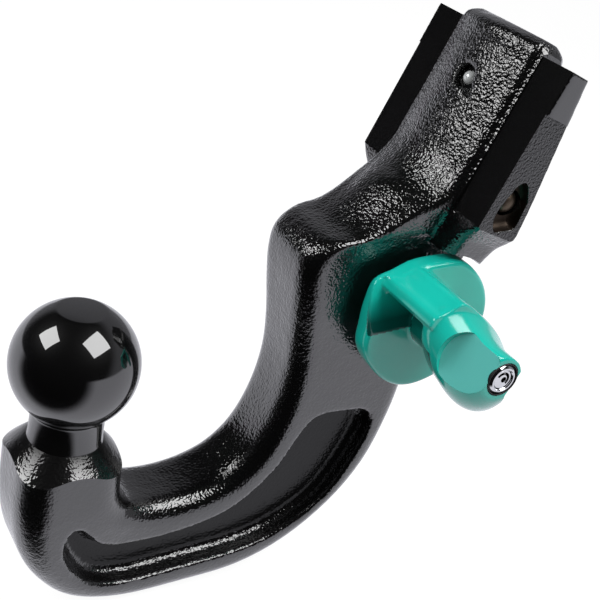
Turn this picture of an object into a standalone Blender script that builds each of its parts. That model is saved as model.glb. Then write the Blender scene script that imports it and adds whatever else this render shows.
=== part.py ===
"""Detachable tow ball: a forged swan neck with a wedge head that slides up into a receiver.

A handwheel on the near side turns a cross shaft. Its cam lifts a plunger, whose cone drives
two locking balls out of the head's sides. A round-nosed trigger pin sits in the head's rear.

Frame: the ball's centre is the origin, +Z runs up the ball, +X points to the vehicle's rear
and +Y to the handwheel's side. Lengths are in metres.
"""
import math

import bmesh
import bpy
from mathutils import Matrix, Vector

# Clearance between pieces that touch, and between a moving piece and its bore
GAP = 0.0003

# Coupling ball and its turned neck
BALL_RADIUS = 0.025
BALL_FLAT_RADIUS = 0.0095
NECK_RADIUS = 0.0145
SHOULDER_Z = -0.0323
SHOULDER_SLOPE = 1.06
SHOULDER_CUT_REACH = 0.045
STUB_TOP_Z = -0.031

# Forged bar
STUB_HALF_WIDTH = 0.021
STUB_CORNER = 0.0125
BAR_HALF_WIDTH = 0.0175
BAR_CORNER = 0.009
WEB_HALF_THICKNESS = 0.009
RECESS_ROUND = 0.004
SHAFT_FACE_HALF_WIDTH = 0.019

# Wedge head, measured across (t, rearwards) and along (h, upwards) its tilted axis
HEAD_TILT = math.radians(19.1)
WING_PLANE = -0.1075
WING_HALF_WIDTH = 0.0433
WING_TOP = 0.1812
WING_BOTTOM = 0.113
WING_TOP_DEPTH = 0.0098
WEDGE_SLOPE = 0.183
WING_ROUND = 0.0015
BODY_HALF_WIDTH = 0.0255
BODY_CORNER = 0.006
CROWN_EDGE = 0.0035
CROWN_RISE = 0.0045
TONGUE_TOP = 0.187
TONGUE_FRONT = 0.014
SIDE_PAD_BOTTOM = 0.163
SIDE_RELIEF = 0.0012

# Cross shaft and handwheel
SHAFT_X = -0.1383
SHAFT_Z = 0.0266
SHAFT_RADIUS = 0.005
SHAFT_FAR_END = -0.0165
SHAFT_NEAR_END = 0.0475
SHAFT_COLLAR_RADIUS = 0.0075
SHAFT_COLLAR_LOW = 0.0335
SHAFT_COLLAR_HIGH = 0.0347
SEAL_WIDTH = 0.0045
CAM_BORE_RADIUS = 0.0103
CAM_BORE_FAR_END = -0.008
FAR_BUSH_RADIUS = 0.008
CAM_LOW_RADIUS = 0.0062
CAM_WIDTH = 0.0090
CAM_TURN = math.radians(80)
SPOT_FACE_RADIUS = 0.0290

# Locking balls, their cross bore and the plunger
PLUNGER_LEAN = 0.06206
LOCK_H = 0.1265
LOCKING_BALL_RADIUS = 0.0055
LOCK_TRAVEL = 0.0036
POCKET_DEPTH = 0.0030
PLUNGER_RADIUS = 0.0048
PLUNGER_NECK_RADIUS = 0.0018
PLUNGER_COLLAR_START = 0.0045
PLUNGER_COLLAR_END = 0.0090
PIN_TIP_RADIUS = 0.0016
PLUNGER_SPRING_LENGTH = 0.02252
SPRING_WIRE_RADIUS = 0.0006

# Trigger pin
TRIGGER_H = 0.1607
TRIGGER_TIP_T = 0.0063
TRIGGER_FLOOR_T = 0.0042
TRIGGER_RADIUS = 0.0029
TRIGGER_BORE_RADIUS = 0.0050
TRIGGER_BORE_END_T = -0.0034
TRIGGER_TRAVEL = 0.0020
TRIGGER_RECESS_RADIUS = 0.0080

# Handwheel
WHEEL_BACK = 0.024
WHEEL_FRONT = 0.0335
WHEEL_RIM = (
    (-180, 0.0275), (-130, 0.0289), (-106, 0.0308), (-77, 0.0331), (-45, 0.0326), (-22, 0.0331),
    (-6, 0.0318), (12, 0.0324), (27, 0.0338), (36, 0.0318), (43, 0.0296), (60, 0.0275),
    (82, 0.0258), (105, 0.0264), (132, 0.0259), (158, 0.0266),
)
SCOOP_ANGLE = math.radians(-8)
SCOOP_SLOPE = 0.29
WEB_LOW = 0.0250
WEB_HIGH = 0.0615
WHEEL_ROUND = 0.0022
WHEEL_TRAVEL = 0.0045
HUB_RADIUS = 0.0120
SPRING_POCKET_RADIUS = 0.0088
SPRING_SEAT_LOW = 0.0242
SPRING_SEAT_HIGH = 0.0257
DRIVE_PIN_Y = 0.0418
DRIVE_PIN_RADIUS = 0.0015
DRIVE_PIN_HALF_LENGTH = 0.0085
GRIP_ANGLE = math.radians(45)
GRIP_START = 0.0520
BOLT_LOW = 0.0530
BOLT_HIGH = 0.0570
LOCK_FACE = 0.0795
LOCK_RADIUS = 0.0070
HOUSING_RADIUS = 0.0062
ROTOR_RADIUS = 0.0042
HOUSING_BACK = 0.0600
FACET_FACING = (0.72, 0.62, 0.30)
FACET_CENTRE = (0.016, 0.068, 0.003)
FACET_SHIFT = (0.0065, -0.0018)
FACET_HALF_WIDTH = 0.0105
FACET_HALF_LENGTH = 0.0135
FACET_LEAN = math.radians(18)

UP = Vector((0, 0, 1))
SIDE = Vector((0, 1, 0))
HEAD_REAR = Vector((math.cos(HEAD_TILT), 0, math.sin(HEAD_TILT)))
HEAD_UP = Vector((-math.sin(HEAD_TILT), 0, math.cos(HEAD_TILT)))


def head_point(t, h, y=0.0):
    """World place of a point given in the head's own directions."""
    return HEAD_REAR * (t + WING_PLANE) + HEAD_UP * h + SIDE * y


SHAFT_CENTRE = Vector((SHAFT_X, 0, SHAFT_Z))
SHAFT_T = SHAFT_CENTRE.dot(HEAD_REAR) - WING_PLANE
SHAFT_H = SHAFT_CENTRE.dot(HEAD_UP)
LOCK_T = SHAFT_T + (LOCK_H - SHAFT_H) * PLUNGER_LEAN
LOCK_CENTRE = head_point(LOCK_T, LOCK_H)
PLUNGER_LINE = (LOCK_CENTRE - SHAFT_CENTRE).normalized()
SHAFT_TO_LOCK = (LOCK_CENTRE - SHAFT_CENTRE).length
BORE_RADIUS = PLUNGER_RADIUS + GAP
LOCK_BORE_RADIUS = LOCKING_BALL_RADIUS + GAP
POCKET_FLOOR = WING_HALF_WIDTH - POCKET_DEPTH
BALL_REST_Y = POCKET_FLOOR - GAP - LOCKING_BALL_RADIUS


def clear_scene():
    for obj in list(bpy.data.objects):
        bpy.data.objects.remove(obj)


def new_collection(name):
    collection = bpy.data.collections.new(name)
    bpy.context.scene.collection.children.link(collection)
    return collection


clear_scene()
PARTS = new_collection("tow_ball")
CUTTERS = new_collection("cutters")


def material(name, colour, roughness, metallic):
    made = bpy.data.materials.new(name)
    made.use_nodes = True
    shader = made.node_tree.nodes["Principled BSDF"]
    shader.inputs["Base Color"].default_value = (*colour, 1)
    shader.inputs["Roughness"].default_value = roughness
    shader.inputs["Metallic"].default_value = metallic
    return made


def place(obj, kind):
    """Puts an object among the parts, with a material, or among the cutters."""
    if kind is None:
        CUTTERS.objects.link(obj)
        obj.hide_render = True
        obj.display_type = "WIRE"
    else:
        PARTS.objects.link(obj)
        obj.data.materials.append(kind)
    return obj


def axis_matrix(origin, axis):
    """Places a piece made along its local Z so that Z runs along the axis."""
    turn = UP.rotation_difference(Vector(axis).normalized())
    return Matrix.Translation(origin) @ turn.to_matrix().to_4x4()


def mesh_object(name, points, faces, kind=None):
    mesh = bpy.data.meshes.new(name)
    mesh.from_pydata([tuple(point) for point in points], [], faces)
    mesh.validate()
    return place(bpy.data.objects.new(name, mesh), kind)


def smooth(obj, angle=35):
    obj.data.shade_smooth()
    obj.data.set_sharp_from_angle(angle=math.radians(angle))
    return obj


def turned(name, profile, origin, axis, kind=None, steps=24, closed=False):
    """A turned shape: (radius, height) pairs that run down its outer side, on a Screw modifier."""
    mesh = bpy.data.meshes.new(name)
    count = len(profile)
    edges = [(i, i + 1) for i in range(count - 1)]
    if closed:
        edges.append((count - 1, 0))
    mesh.from_pydata([(radius, 0, height) for radius, height in profile], edges, [])
    obj = bpy.data.objects.new(name, mesh)
    obj.matrix_world = axis_matrix(origin, axis)
    place(obj, kind)
    screw = obj.modifiers.new("turn", "SCREW")
    screw.axis = "Z"
    screw.angle = math.tau
    screw.steps = steps
    screw.render_steps = steps
    screw.use_smooth_shade = True
    screw.use_merge_vertices = True
    screw.merge_threshold = 0.00001
    return obj


def cylinder(name, radius, low, high, origin, axis, kind=None, steps=24):
    profile = [(0, high), (radius, high), (radius, low), (0, low)]
    return turned(name, profile, origin, axis, kind, steps)


def ring(name, inner, outer, low, high, origin, axis, kind=None, steps=24):
    profile = [(inner, high), (outer, high), (outer, low), (inner, low)]
    return turned(name, profile, origin, axis, kind, steps, closed=True)


def boolean(obj, other, operation):
    change = obj.modifiers.new(f"{operation.lower()}_{other.name}", "BOOLEAN")
    change.operation = operation
    change.object = other
    change.solver = "EXACT"
    return change


def cut(obj, other):
    boolean(obj, other, "DIFFERENCE")


def join(obj, other):
    boolean(obj, other, "UNION")


def box(name, low, high, frame=Matrix.Identity(4), kind=None, bevel=0.0):
    """A box between two corners given in a frame of its own, with rounded edges if wanted."""
    low, high = Vector(low), Vector(high)
    mesh = bpy.data.meshes.new(name)
    work = bmesh.new()
    bmesh.ops.create_cube(work, size=1)
    for vert in work.verts:
        vert.co = Vector([low[i] + (vert.co[i] + 0.5) * (high[i] - low[i]) for i in range(3)])
    work.to_mesh(mesh)
    work.free()
    obj = bpy.data.objects.new(name, mesh)
    obj.matrix_world = frame
    place(obj, kind)
    if bevel:
        rounding = obj.modifiers.new("round", "BEVEL")
        rounding.width = bevel
        rounding.segments = 2
    return obj


def outline_solid(name, points, half_depth, bevel, frame, kind=None, smooth_line=False, steps=2):
    """A flat closed outline, thickened both ways, as a mesh whose caps are welded."""
    curve = bpy.data.curves.new(name + "_line", "CURVE")
    curve.dimensions = "2D"
    curve.fill_mode = "BOTH"
    curve.extrude = half_depth - bevel
    curve.bevel_depth = bevel
    curve.bevel_resolution = 1
    curve.offset = -bevel
    curve.resolution_u = steps
    line = curve.splines.new("BEZIER" if smooth_line else "POLY")
    if smooth_line:
        line.bezier_points.add(len(points) - 1)
        for knot, (u, v) in zip(line.bezier_points, points):
            knot.co = (u, v, 0)
            knot.handle_left_type = "AUTO"
            knot.handle_right_type = "AUTO"
    else:
        line.points.add(len(points) - 1)
        for knot, (u, v) in zip(line.points, points):
            knot.co = (u, v, 0, 1)
    line.use_cyclic_u = True
    guide = bpy.data.objects.new(name + "_line", curve)
    CUTTERS.objects.link(guide)
    guide.matrix_world = frame
    bpy.context.view_layer.update()
    graph = bpy.context.evaluated_depsgraph_get()
    mesh = bpy.data.meshes.new_from_object(guide.evaluated_get(graph))
    work = bmesh.new()
    work.from_mesh(mesh)
    bmesh.ops.remove_doubles(work, verts=work.verts, dist=0.00001)
    bmesh.ops.recalc_face_normals(work, faces=work.faces)
    work.to_mesh(mesh)
    work.free()
    obj = bpy.data.objects.new(name, mesh)
    obj.matrix_world = guide.matrix_world
    bpy.data.objects.remove(guide)
    return place(obj, kind)


def side_frame(origin, y):
    """A frame whose local X is world X, local Y is world Z and whose depth runs along -Y."""
    turn = Matrix.Rotation(math.radians(90), 4, "X")
    return Matrix.Translation(Vector((origin.x, y, origin.z))) @ turn


def head_frame(y=0.0):
    """Local X is the head's rearward direction, local Y its upward one, depth along -Y."""
    turn = Matrix.Rotation(-HEAD_TILT, 4, "Y") @ Matrix.Rotation(math.radians(90), 4, "X")
    return Matrix.Translation(head_point(0, 0, y)) @ turn


def head_box_frame():
    """Local X rearwards, local Y sideways, local Z up the head, from the wings' plane."""
    return Matrix.Translation(head_point(0, 0)) @ Matrix.Rotation(-HEAD_TILT, 4, "Y")


def coil(name, radius, length, turns, origin, axis, kind, wire=SPRING_WIRE_RADIUS, per_turn=10):
    """A compression spring as a wire along a helix."""
    curve = bpy.data.curves.new(name, "CURVE")
    curve.dimensions = "3D"
    curve.bevel_depth = wire
    curve.bevel_resolution = 1
    curve.use_fill_caps = True
    line = curve.splines.new("POLY")
    count = int(turns * per_turn)
    line.points.add(count)
    for i, knot in enumerate(line.points):
        angle = math.tau * i / per_turn
        height = wire + (length - 2 * wire) * i / count
        knot.co = (radius * math.cos(angle), radius * math.sin(angle), height, 1)
    obj = bpy.data.objects.new(name, curve)
    obj.matrix_world = axis_matrix(origin, axis)
    return place(obj, kind)


def arc(centre, radius, start, end, count):
    """Points along a circle, given as (radius, height) pairs for a turned profile."""
    points = []
    for i in range(count + 1):
        angle = math.radians(start + (end - start) * i / count)
        points.append((centre[0] + radius * math.cos(angle), centre[1] + radius * math.sin(angle)))
    return points


def catmull_rom(values, steps):
    """Smooth rows of numbers through the given rows, with steps rows from one to the next."""
    rows = []
    last = len(values) - 1
    for i in range(last):
        a, b = values[max(i - 1, 0)], values[i]
        c, d = values[i + 1], values[min(i + 2, last)]
        for k in range(steps):
            s = k / steps
            row = []
            for p, q, r, u in zip(a, b, c, d):
                bend = (2 * p - 5 * q + 4 * r - u) * s * s + (3 * q - p - 3 * r + u) * s ** 3
                row.append(q + 0.5 * ((r - p) * s + bend))
            rows.append(row)
    rows.append(list(values[last]))
    return rows


def section_outline(half_depth, half_width, corner, crown, per_corner=3, across=3):
    """One section of the forging: (depth, width) pairs, rounded at its corners, with the
    inner side raised by the crown. Depth is positive towards the outer side."""
    corner = min(corner, 0.96 * half_depth, 0.96 * half_width)
    points = []
    corners = ((1, 1, 0), (-1, 1, 90), (-1, -1, 180), (1, -1, 270))
    for sign_d, sign_w, start in corners:
        centre_d = sign_d * (half_depth - corner)
        centre_w = sign_w * (half_width - corner)
        for i in range(per_corner + 1):
            angle = math.radians(start + 90 * i / per_corner)
            points.append((centre_d + corner * math.cos(angle), centre_w + corner * math.sin(angle)))
        if sign_d < 0 < sign_w:
            flat = half_width - corner
            for i in range(1, across + 1):
                width = flat * (1 - 2 * i / (across + 1))
                points.append((-half_depth - crown * (1 - (width / flat) ** 2), width))
    return points


def loft(name, rings, kind=None):
    """A closed skin over rings of equal counts, capped at both ends."""
    count = len(rings[0])
    points = [point for one in rings for point in one]
    faces = []
    for i in range(len(rings) - 1):
        for j in range(count):
            k = (j + 1) % count
            faces.append((i * count + j, (i + 1) * count + j, (i + 1) * count + k, i * count + k))
    faces.append(tuple(range(count)))
    faces.append(tuple(reversed(range((len(rings) - 1) * count, len(rings) * count))))
    obj = mesh_object(name, points, faces, kind)
    work = bmesh.new()
    work.from_mesh(obj.data)
    bmesh.ops.recalc_face_normals(work, faces=work.faces)
    work.to_mesh(obj.data)
    work.free()
    return obj


def bar_stations():
    """Rows of outer x, outer z, inner x, inner z, half width, corner and crown, from the stub
    below the ball, round the swan neck, over the shoulder and up the head to its tongue."""
    stub = (STUB_HALF_WIDTH, STUB_CORNER, 0)
    bar = (BAR_HALF_WIDTH, BAR_CORNER, 0)
    leg = (SHAFT_FACE_HALF_WIDTH, BAR_CORNER, 0)
    body = (BODY_HALF_WIDTH, BODY_CORNER, CROWN_RISE)
    rows = [
        (STUB_HALF_WIDTH, STUB_TOP_Z, -STUB_HALF_WIDTH, STUB_TOP_Z, *stub),
        (STUB_HALF_WIDTH, -0.047, -STUB_HALF_WIDTH, -0.044, *stub),
        (0.0205, -0.063, -0.0220, -0.054, *stub),
        (0.0170, -0.0795, -0.0250, -0.060, 0.0203, 0.012, 0),
        (0.0090, -0.0935, -0.0285, -0.0625, 0.0193, 0.0105, 0),
        (-0.0055, -0.1065, -0.0335, -0.0637, 0.0181, 0.0095, 0),
        (-0.0280, -0.1127, -0.0400, -0.0640, *bar),
        (-0.0570, -0.1117, -0.0500, -0.0633, *bar),
        (-0.0840, -0.1082, -0.0605, -0.0607, *bar),
        (-0.1070, -0.0980, -0.0700, -0.0560, *bar),
        (-0.1271, -0.0803, -0.0780, -0.0480, *bar),
        (-0.1404, -0.0593, -0.0835, -0.0372, *bar),
        (-0.1472, -0.0345, -0.0873, -0.0225, *bar),
        (-0.1497, -0.0125, -0.0883, -0.0062, *bar),
        (-0.1510, 0.0080, -0.0864, 0.0100, 0.0178, BAR_CORNER, 0),
        (-0.1520, 0.0260, -0.0838, 0.0255, *leg),
        (-0.1533, 0.0400, -0.0817, 0.0391, *leg),
        (-0.1550, 0.0490, -0.0828, 0.0486, 0.0193, 0.0095, 0.0005),
        (-0.1575, 0.0550, -0.0903, 0.0549, 0.0198, 0.0095, 0.001),
        (-0.1590, 0.0600, -0.1032, 0.0581, 0.0208, 0.009, 0.0015),
    ]
    for h, rear, half_width in ((0.104, 0.0150, 0.0225), (0.112, 0.0085, 0.0250),
                                (0.122, 0.0048, BODY_HALF_WIDTH), (0.135, 0.0040, BODY_HALF_WIDTH)):
        front = head_point(-TONGUE_FRONT - (TONGUE_TOP - h) * WEDGE_SLOPE, h - 0.006)
        back = head_point(rear, h + 0.003)
        rows.append((front.x, front.z, back.x, back.z, half_width, BODY_CORNER, CROWN_RISE))
    for h in (0.150, 0.165, 0.176, 0.1835):
        front = head_point(-TONGUE_FRONT - (TONGUE_TOP - h) * WEDGE_SLOPE, h)
        back = head_point(CROWN_EDGE, h)
        rows.append((front.x, front.z, back.x, back.z, *body))
    front = head_point(-TONGUE_FRONT + 0.0035, TONGUE_TOP)
    back = head_point(CROWN_EDGE - 0.0045, TONGUE_TOP)
    rows.append((front.x, front.z, back.x, back.z, BODY_HALF_WIDTH - 0.003, BODY_CORNER, 0.002))
    return rows


def forged_bar():
    """The swan-neck bar and the head's central body, lofted along its stations."""
    rings = []
    for x_out, z_out, x_in, z_in, half_width, corner, crown in catmull_rom(bar_stations(), 2):
        outer, inner = Vector((x_out, 0, z_out)), Vector((x_in, 0, z_in))
        middle = (outer + inner) / 2
        across = (outer - inner).normalized()
        outline = section_outline((outer - inner).length / 2, half_width, corner, crown)
        rings.append([middle + across * depth + SIDE * width for depth, width in outline])
    return rings


def wing_rings():
    """The two locking wings as one wedge-shaped block, flaring in to the bar below them."""
    flare = [
        (0.0775, -0.010, 0.0275, 0.0253, 0.006),
        (0.0870, -0.006, 0.0268, 0.0173, 0.006),
        (0.0950, -0.0035, 0.0258, 0.0121, 0.005),
        (0.1010, -0.0018, 0.0248, 0.0093, 0.005),
        (0.1063, -0.0008, 0.0238, 0.0071, 0.004),
        (0.1095, 0, 0.0229, 0.0045, 0.003),
        (WING_BOTTOM, 0, 0.0222, 0.0015, 0.002),
    ]
    rows = []
    for h, rear, front, narrower, corner in flare:
        rows.append((h, rear, front, WING_HALF_WIDTH - narrower, corner))
    for h in (WING_BOTTOM + 0.003, 0.130, 0.155, WING_TOP - 0.0045):
        rows.append((h, 0, WING_TOP_DEPTH + (WING_TOP - h) * WEDGE_SLOPE, WING_HALF_WIDTH, WING_ROUND))
    for drop, inset, narrowing in ((0.0020, -0.0004, 0.0008), (0.0005, 0.0004, 0.0024),
                                   (0, 0.0012, 0.0042)):
        rows.append((WING_TOP - drop, -max(inset, 0), WING_TOP_DEPTH - inset,
                     WING_HALF_WIDTH - narrowing, WING_ROUND - 0.0002))
    rings = []
    for h, rear, front, half_width, corner in rows:
        half_depth = (front + rear) / 2
        middle = (rear - front) / 2
        outline = section_outline(half_depth, half_width, corner, 0, per_corner=3, across=1)
        rings.append([head_point(middle - depth, h, width) for depth, width in outline])
    return rings


def ball_profile():
    flat_height = math.sqrt(BALL_RADIUS ** 2 - BALL_FLAT_RADIUS ** 2)
    start = math.degrees(math.asin(flat_height / BALL_RADIUS))
    end = -math.degrees(math.acos(NECK_RADIUS / BALL_RADIUS))
    profile = [(0, flat_height)]
    profile += arc((0, 0), BALL_RADIUS, start, end, 14)
    profile += [(NECK_RADIUS, SHOULDER_Z), (NECK_RADIUS, SHOULDER_Z - 0.004), (0, SHOULDER_Z - 0.004)]
    return profile


def recess_outline():
    """The near side's I-beam recess, in world X and Z: its upper line, then its lower line."""
    return [
        (-0.0030, -0.0665), (-0.0165, -0.0785), (-0.0450, -0.0790), (-0.0720, -0.0715),
        (-0.0900, -0.0545), (-0.0992, -0.0365), (-0.1060, -0.0287), (-0.1200, -0.0275),
        (-0.1312, -0.0295), (-0.1345, -0.0385), (-0.1294, -0.0560), (-0.1186, -0.0756),
        (-0.1010, -0.0885), (-0.0818, -0.0955), (-0.0500, -0.0990), (-0.0270, -0.1005),
        (-0.0120, -0.0965), (-0.0025, -0.0850), (0.0010, -0.0735),
    ]


def leaf_outline():
    """The pointed pocket round each locking ball, in the head's own directions."""
    line = [
        (0.0013, 0.0102), (-0.0012, 0.0096), (-0.0038, 0.0066), (-0.0057, 0.0038),
        (-0.0062, 0.0005), (-0.0066, -0.0028), (-0.0070, -0.0061), (-0.0060, -0.0087),
        (-0.0020, -0.0105), (0.0017, -0.0121), (0.0038, -0.0105), (0.0057, -0.0077),
        (0.0062, -0.0039), (0.0058, -0.0010), (0.0047, 0.0032), (0.0039, 0.0074),
    ]
    return [(LOCK_T + t, LOCK_H + h) for t, h in line]


def swan_neck(paint):
    """The one forging: ball, stub, bar and head, with every machined bore and recess."""
    neck = smooth(loft("swan_neck", forged_bar(), paint))
    low = SHOULDER_Z - SHOULDER_SLOPE * 0.020
    inner_top = NECK_RADIUS - SHOULDER_SLOPE * 0.004
    shoulder_cut = [
        (inner_top, SHOULDER_Z + 0.004), (SHOULDER_CUT_REACH, SHOULDER_Z + 0.004),
        (SHOULDER_CUT_REACH, low), (NECK_RADIUS + 0.020 * SHOULDER_SLOPE, low),
    ]
    cut(neck, turned("shoulder_cut", shoulder_cut, (0, 0, 0), UP, None, 48, closed=True))
    join(neck, turned("ball_turning", ball_profile(), (0, 0, 0), UP, None, 40))
    join(neck, loft("wing_block", wing_rings()))

    for side in (1, -1):
        depth = BAR_HALF_WIDTH - WEB_HALF_THICKNESS
        frame = side_frame(Vector((0, 0, 0)), side * BAR_HALF_WIDTH)
        cut(neck, outline_solid(f"bar_recess_{side}", recess_outline(), depth, RECESS_ROUND,
                                frame, smooth_line=True))
        reach = WING_HALF_WIDTH - POCKET_FLOOR
        frame = head_frame(side * WING_HALF_WIDTH)
        cut(neck, outline_solid(f"lock_pocket_{side}", leaf_outline(), reach, 0.0006, frame,
                                smooth_line=True))
        relief = sorted((side * (WING_HALF_WIDTH - SIDE_RELIEF), side * (WING_HALF_WIDTH + 0.004)))
        cut(neck, box(f"side_relief_{side}", (-0.040, relief[0], WING_BOTTOM - 0.008),
                      (0.004, relief[1], SIDE_PAD_BOTTOM), head_box_frame()))

    spot_low, spot_high = SHAFT_FACE_HALF_WIDTH + 0.0003, SHAFT_FACE_HALF_WIDTH + 0.030
    cut(neck, cylinder("spot_face", SPOT_FACE_RADIUS, spot_low, spot_high, SHAFT_CENTRE, SIDE, None, 40))
    far = FAR_BUSH_RADIUS + GAP
    profile = [
        (0, 0.030), (CAM_BORE_RADIUS, 0.030), (CAM_BORE_RADIUS, CAM_BORE_FAR_END),
        (far, CAM_BORE_FAR_END), (far, -0.030), (0, -0.030),
    ]
    cut(neck, turned("shaft_tunnel", profile, SHAFT_CENTRE, SIDE))
    reach = WING_HALF_WIDTH + 0.004
    cut(neck, cylinder("lock_bore", LOCK_BORE_RADIUS, -reach, reach, LOCK_CENTRE, SIDE, None, 20))
    top = (head_point(0, TONGUE_TOP) - SHAFT_CENTRE).length
    cut(neck, cylinder("plunger_bore", BORE_RADIUS, 0.002, top + 0.010, SHAFT_CENTRE, PLUNGER_LINE))
    origin = head_point(0, TRIGGER_H)
    cut(neck, cylinder("trigger_recess", TRIGGER_RECESS_RADIUS, TRIGGER_FLOOR_T, 0.025,
                       origin, HEAD_REAR, None, 32))
    cut(neck, cylinder("trigger_bore", TRIGGER_BORE_RADIUS, TRIGGER_BORE_END_T, 0.010,
                       origin, HEAD_REAR))
    return neck


def shaft_pieces(steel, bronze, rubber, paint):
    """The cross shaft in its two bushes, with its cam, key, clip, seal and far cap."""
    groove = 0.0008
    clip_low, clip_high = 0.0058, 0.0070
    radius = SHAFT_RADIUS
    profile = [
        (0, SHAFT_NEAR_END), (radius - 0.0006, SHAFT_NEAR_END), (radius, SHAFT_NEAR_END - 0.0006),
        (radius, SHAFT_COLLAR_HIGH), (SHAFT_COLLAR_RADIUS, SHAFT_COLLAR_HIGH),
        (SHAFT_COLLAR_RADIUS, SHAFT_COLLAR_LOW), (radius, SHAFT_COLLAR_LOW), (radius, clip_high),
        (radius - groove, clip_high), (radius - groove, clip_low), (radius, clip_low),
        (radius, SHAFT_FAR_END + 0.0006), (radius - 0.0006, SHAFT_FAR_END), (0, SHAFT_FAR_END),
    ]
    shaft = turned("drive_shaft", profile, SHAFT_CENTRE, SIDE, steel, 24)
    inner = radius + GAP
    outer = CAM_BORE_RADIUS - GAP
    near_end = SHAFT_FACE_HALF_WIDTH
    ring("shaft_bush_near", inner, outer, clip_high + 0.0008, near_end - SEAL_WIDTH - GAP,
         SHAFT_CENTRE, SIDE, bronze)
    ring("shaft_bush_far", inner, FAR_BUSH_RADIUS, SHAFT_FAR_END + 0.001, CAM_BORE_FAR_END,
         SHAFT_CENTRE, SIDE, bronze)
    seal = [
        (inner, near_end - 2 * GAP), (outer, near_end - GAP), (outer, near_end - SEAL_WIDTH),
        (inner + 0.0015, near_end - SEAL_WIDTH), (inner + 0.0015, near_end - SEAL_WIDTH * 2 / 3),
        (inner, near_end - SEAL_WIDTH / 2),
    ]
    turned("shaft_seal", seal, SHAFT_CENTRE, SIDE, rubber, closed=True)
    cylinder("shaft_end_cap", FAR_BUSH_RADIUS, -SHAFT_FACE_HALF_WIDTH, SHAFT_FAR_END - GAP,
             SHAFT_CENTRE, SIDE, paint)
    ring("shaft_circlip", radius - groove + GAP, radius + 0.0020, clip_low + 0.0001, clip_high - 0.0001,
         SHAFT_CENTRE, SIDE, steel)

    key_half, key_depth = 0.0010, 0.0012
    frame = axis_matrix(SHAFT_CENTRE, -PLUNGER_LINE)
    width = CAM_WIDTH / 2
    cut(shaft, box("key_seat", (-key_half - GAP, -width - 0.001, radius - key_depth - GAP),
                   (key_half + GAP, width - 0.0001, radius + 0.003), frame))
    box("cam_key", (-key_half, -width, radius - key_depth), (key_half, width - GAP, radius + 0.0009),
        frame, steel)
    cam = cam_disc(steel)
    cut(cam, cylinder("cam_eye", inner, -0.02, 0.02, SHAFT_CENTRE, SIDE))
    cut(cam, box("cam_key_slot", (-key_half - GAP, -0.01, 0), (key_half + GAP, 0.01, radius + 0.0009 + GAP),
                 frame))
    return shaft


def cam_disc(steel):
    """The spiral cam: its radius under the plunger grows evenly through the shaft's turn."""
    toward = math.atan2(PLUNGER_LINE.z, PLUNGER_LINE.x)
    lead = math.radians(20)
    fall_start = CAM_TURN + 3 * lead
    points = []
    count = 48
    for i in range(count):
        angle = math.tau * i / count
        if angle < lead:
            rise = 0
        elif angle < lead + CAM_TURN:
            rise = (angle - lead) / CAM_TURN
        elif angle < fall_start:
            rise = 1
        else:
            fall = (angle - fall_start) / (math.tau - fall_start)
            rise = 0.5 + 0.5 * math.cos(math.pi * fall)
        radius = CAM_LOW_RADIUS + LOCK_TRAVEL * rise
        place_angle = toward - lead + angle
        points.append((radius * math.cos(place_angle), radius * math.sin(place_angle)))
    return outline_solid("cam_disc", points, CAM_WIDTH / 2, 0, side_frame(SHAFT_CENTRE, 0), steel)


def plunger_pieces(steel, spring_steel, paint):
    """The plunger from the cam to the locking balls, its spring and its plug."""
    foot = CAM_LOW_RADIUS + 2 * GAP
    cone_start = SHAFT_TO_LOCK - (PLUNGER_RADIUS - PLUNGER_NECK_RADIUS)
    collar_low = SHAFT_TO_LOCK + PLUNGER_COLLAR_START
    collar_high = SHAFT_TO_LOCK + PLUNGER_COLLAR_END
    profile = [
        (0, collar_high), (PLUNGER_RADIUS, collar_high), (PLUNGER_RADIUS, collar_low),
        (PLUNGER_NECK_RADIUS, collar_low), (PLUNGER_NECK_RADIUS, SHAFT_TO_LOCK),
        (PLUNGER_RADIUS, cone_start), (PLUNGER_RADIUS, foot + 0.006), (0.003, foot + 0.004),
    ]
    profile += arc((0, foot + 0.003), 0.003, 0, -90, 4)
    profile[-1] = (0, foot)
    turned("plunger", profile, SHAFT_CENTRE, PLUNGER_LINE, steel)
    plug_low = collar_high + GAP + PLUNGER_SPRING_LENGTH + GAP
    plug_high = (head_point(LOCK_T, TONGUE_TOP) - SHAFT_CENTRE).dot(PLUNGER_LINE) - 0.0008
    cylinder("plunger_plug", PLUNGER_RADIUS, plug_low, plug_high, SHAFT_CENTRE, PLUNGER_LINE, paint)
    origin = SHAFT_CENTRE + PLUNGER_LINE * (collar_high + GAP)
    coil("plunger_spring", PLUNGER_RADIUS - 0.0014, PLUNGER_SPRING_LENGTH, 6, origin, PLUNGER_LINE,
         spring_steel)


def locking_pieces(steel, chrome):
    """On each side a thrust pin from the plunger's cone and the locking ball that it pushes."""
    tip_centre = PLUNGER_NECK_RADIUS + (PIN_TIP_RADIUS + GAP) * math.sqrt(2)
    pin_end = BALL_REST_Y - LOCKING_BALL_RADIUS - GAP
    for side, word in ((1, "near"), (-1, "far")):
        axis = SIDE * side
        ball = arc((0, 0), LOCKING_BALL_RADIUS, 90, -90, 12)
        ball[0], ball[-1] = (0, LOCKING_BALL_RADIUS), (0, -LOCKING_BALL_RADIUS)
        turned(f"locking_ball_{word}", ball, LOCK_CENTRE + axis * BALL_REST_Y, axis, chrome, 20)
        nose = arc((0, tip_centre), PIN_TIP_RADIUS, -45, -90, 3)
        nose[-1] = (0, tip_centre - PIN_TIP_RADIUS)
        radius = LOCKING_BALL_RADIUS
        widening = tip_centre + radius - PIN_TIP_RADIUS * math.sqrt(2)
        profile = [(0, pin_end), (radius - 0.0005, pin_end), (radius, pin_end - 0.0005), (radius, widening)]
        turned(f"thrust_pin_{word}", profile + nose, LOCK_CENTRE, axis, steel)


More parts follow.
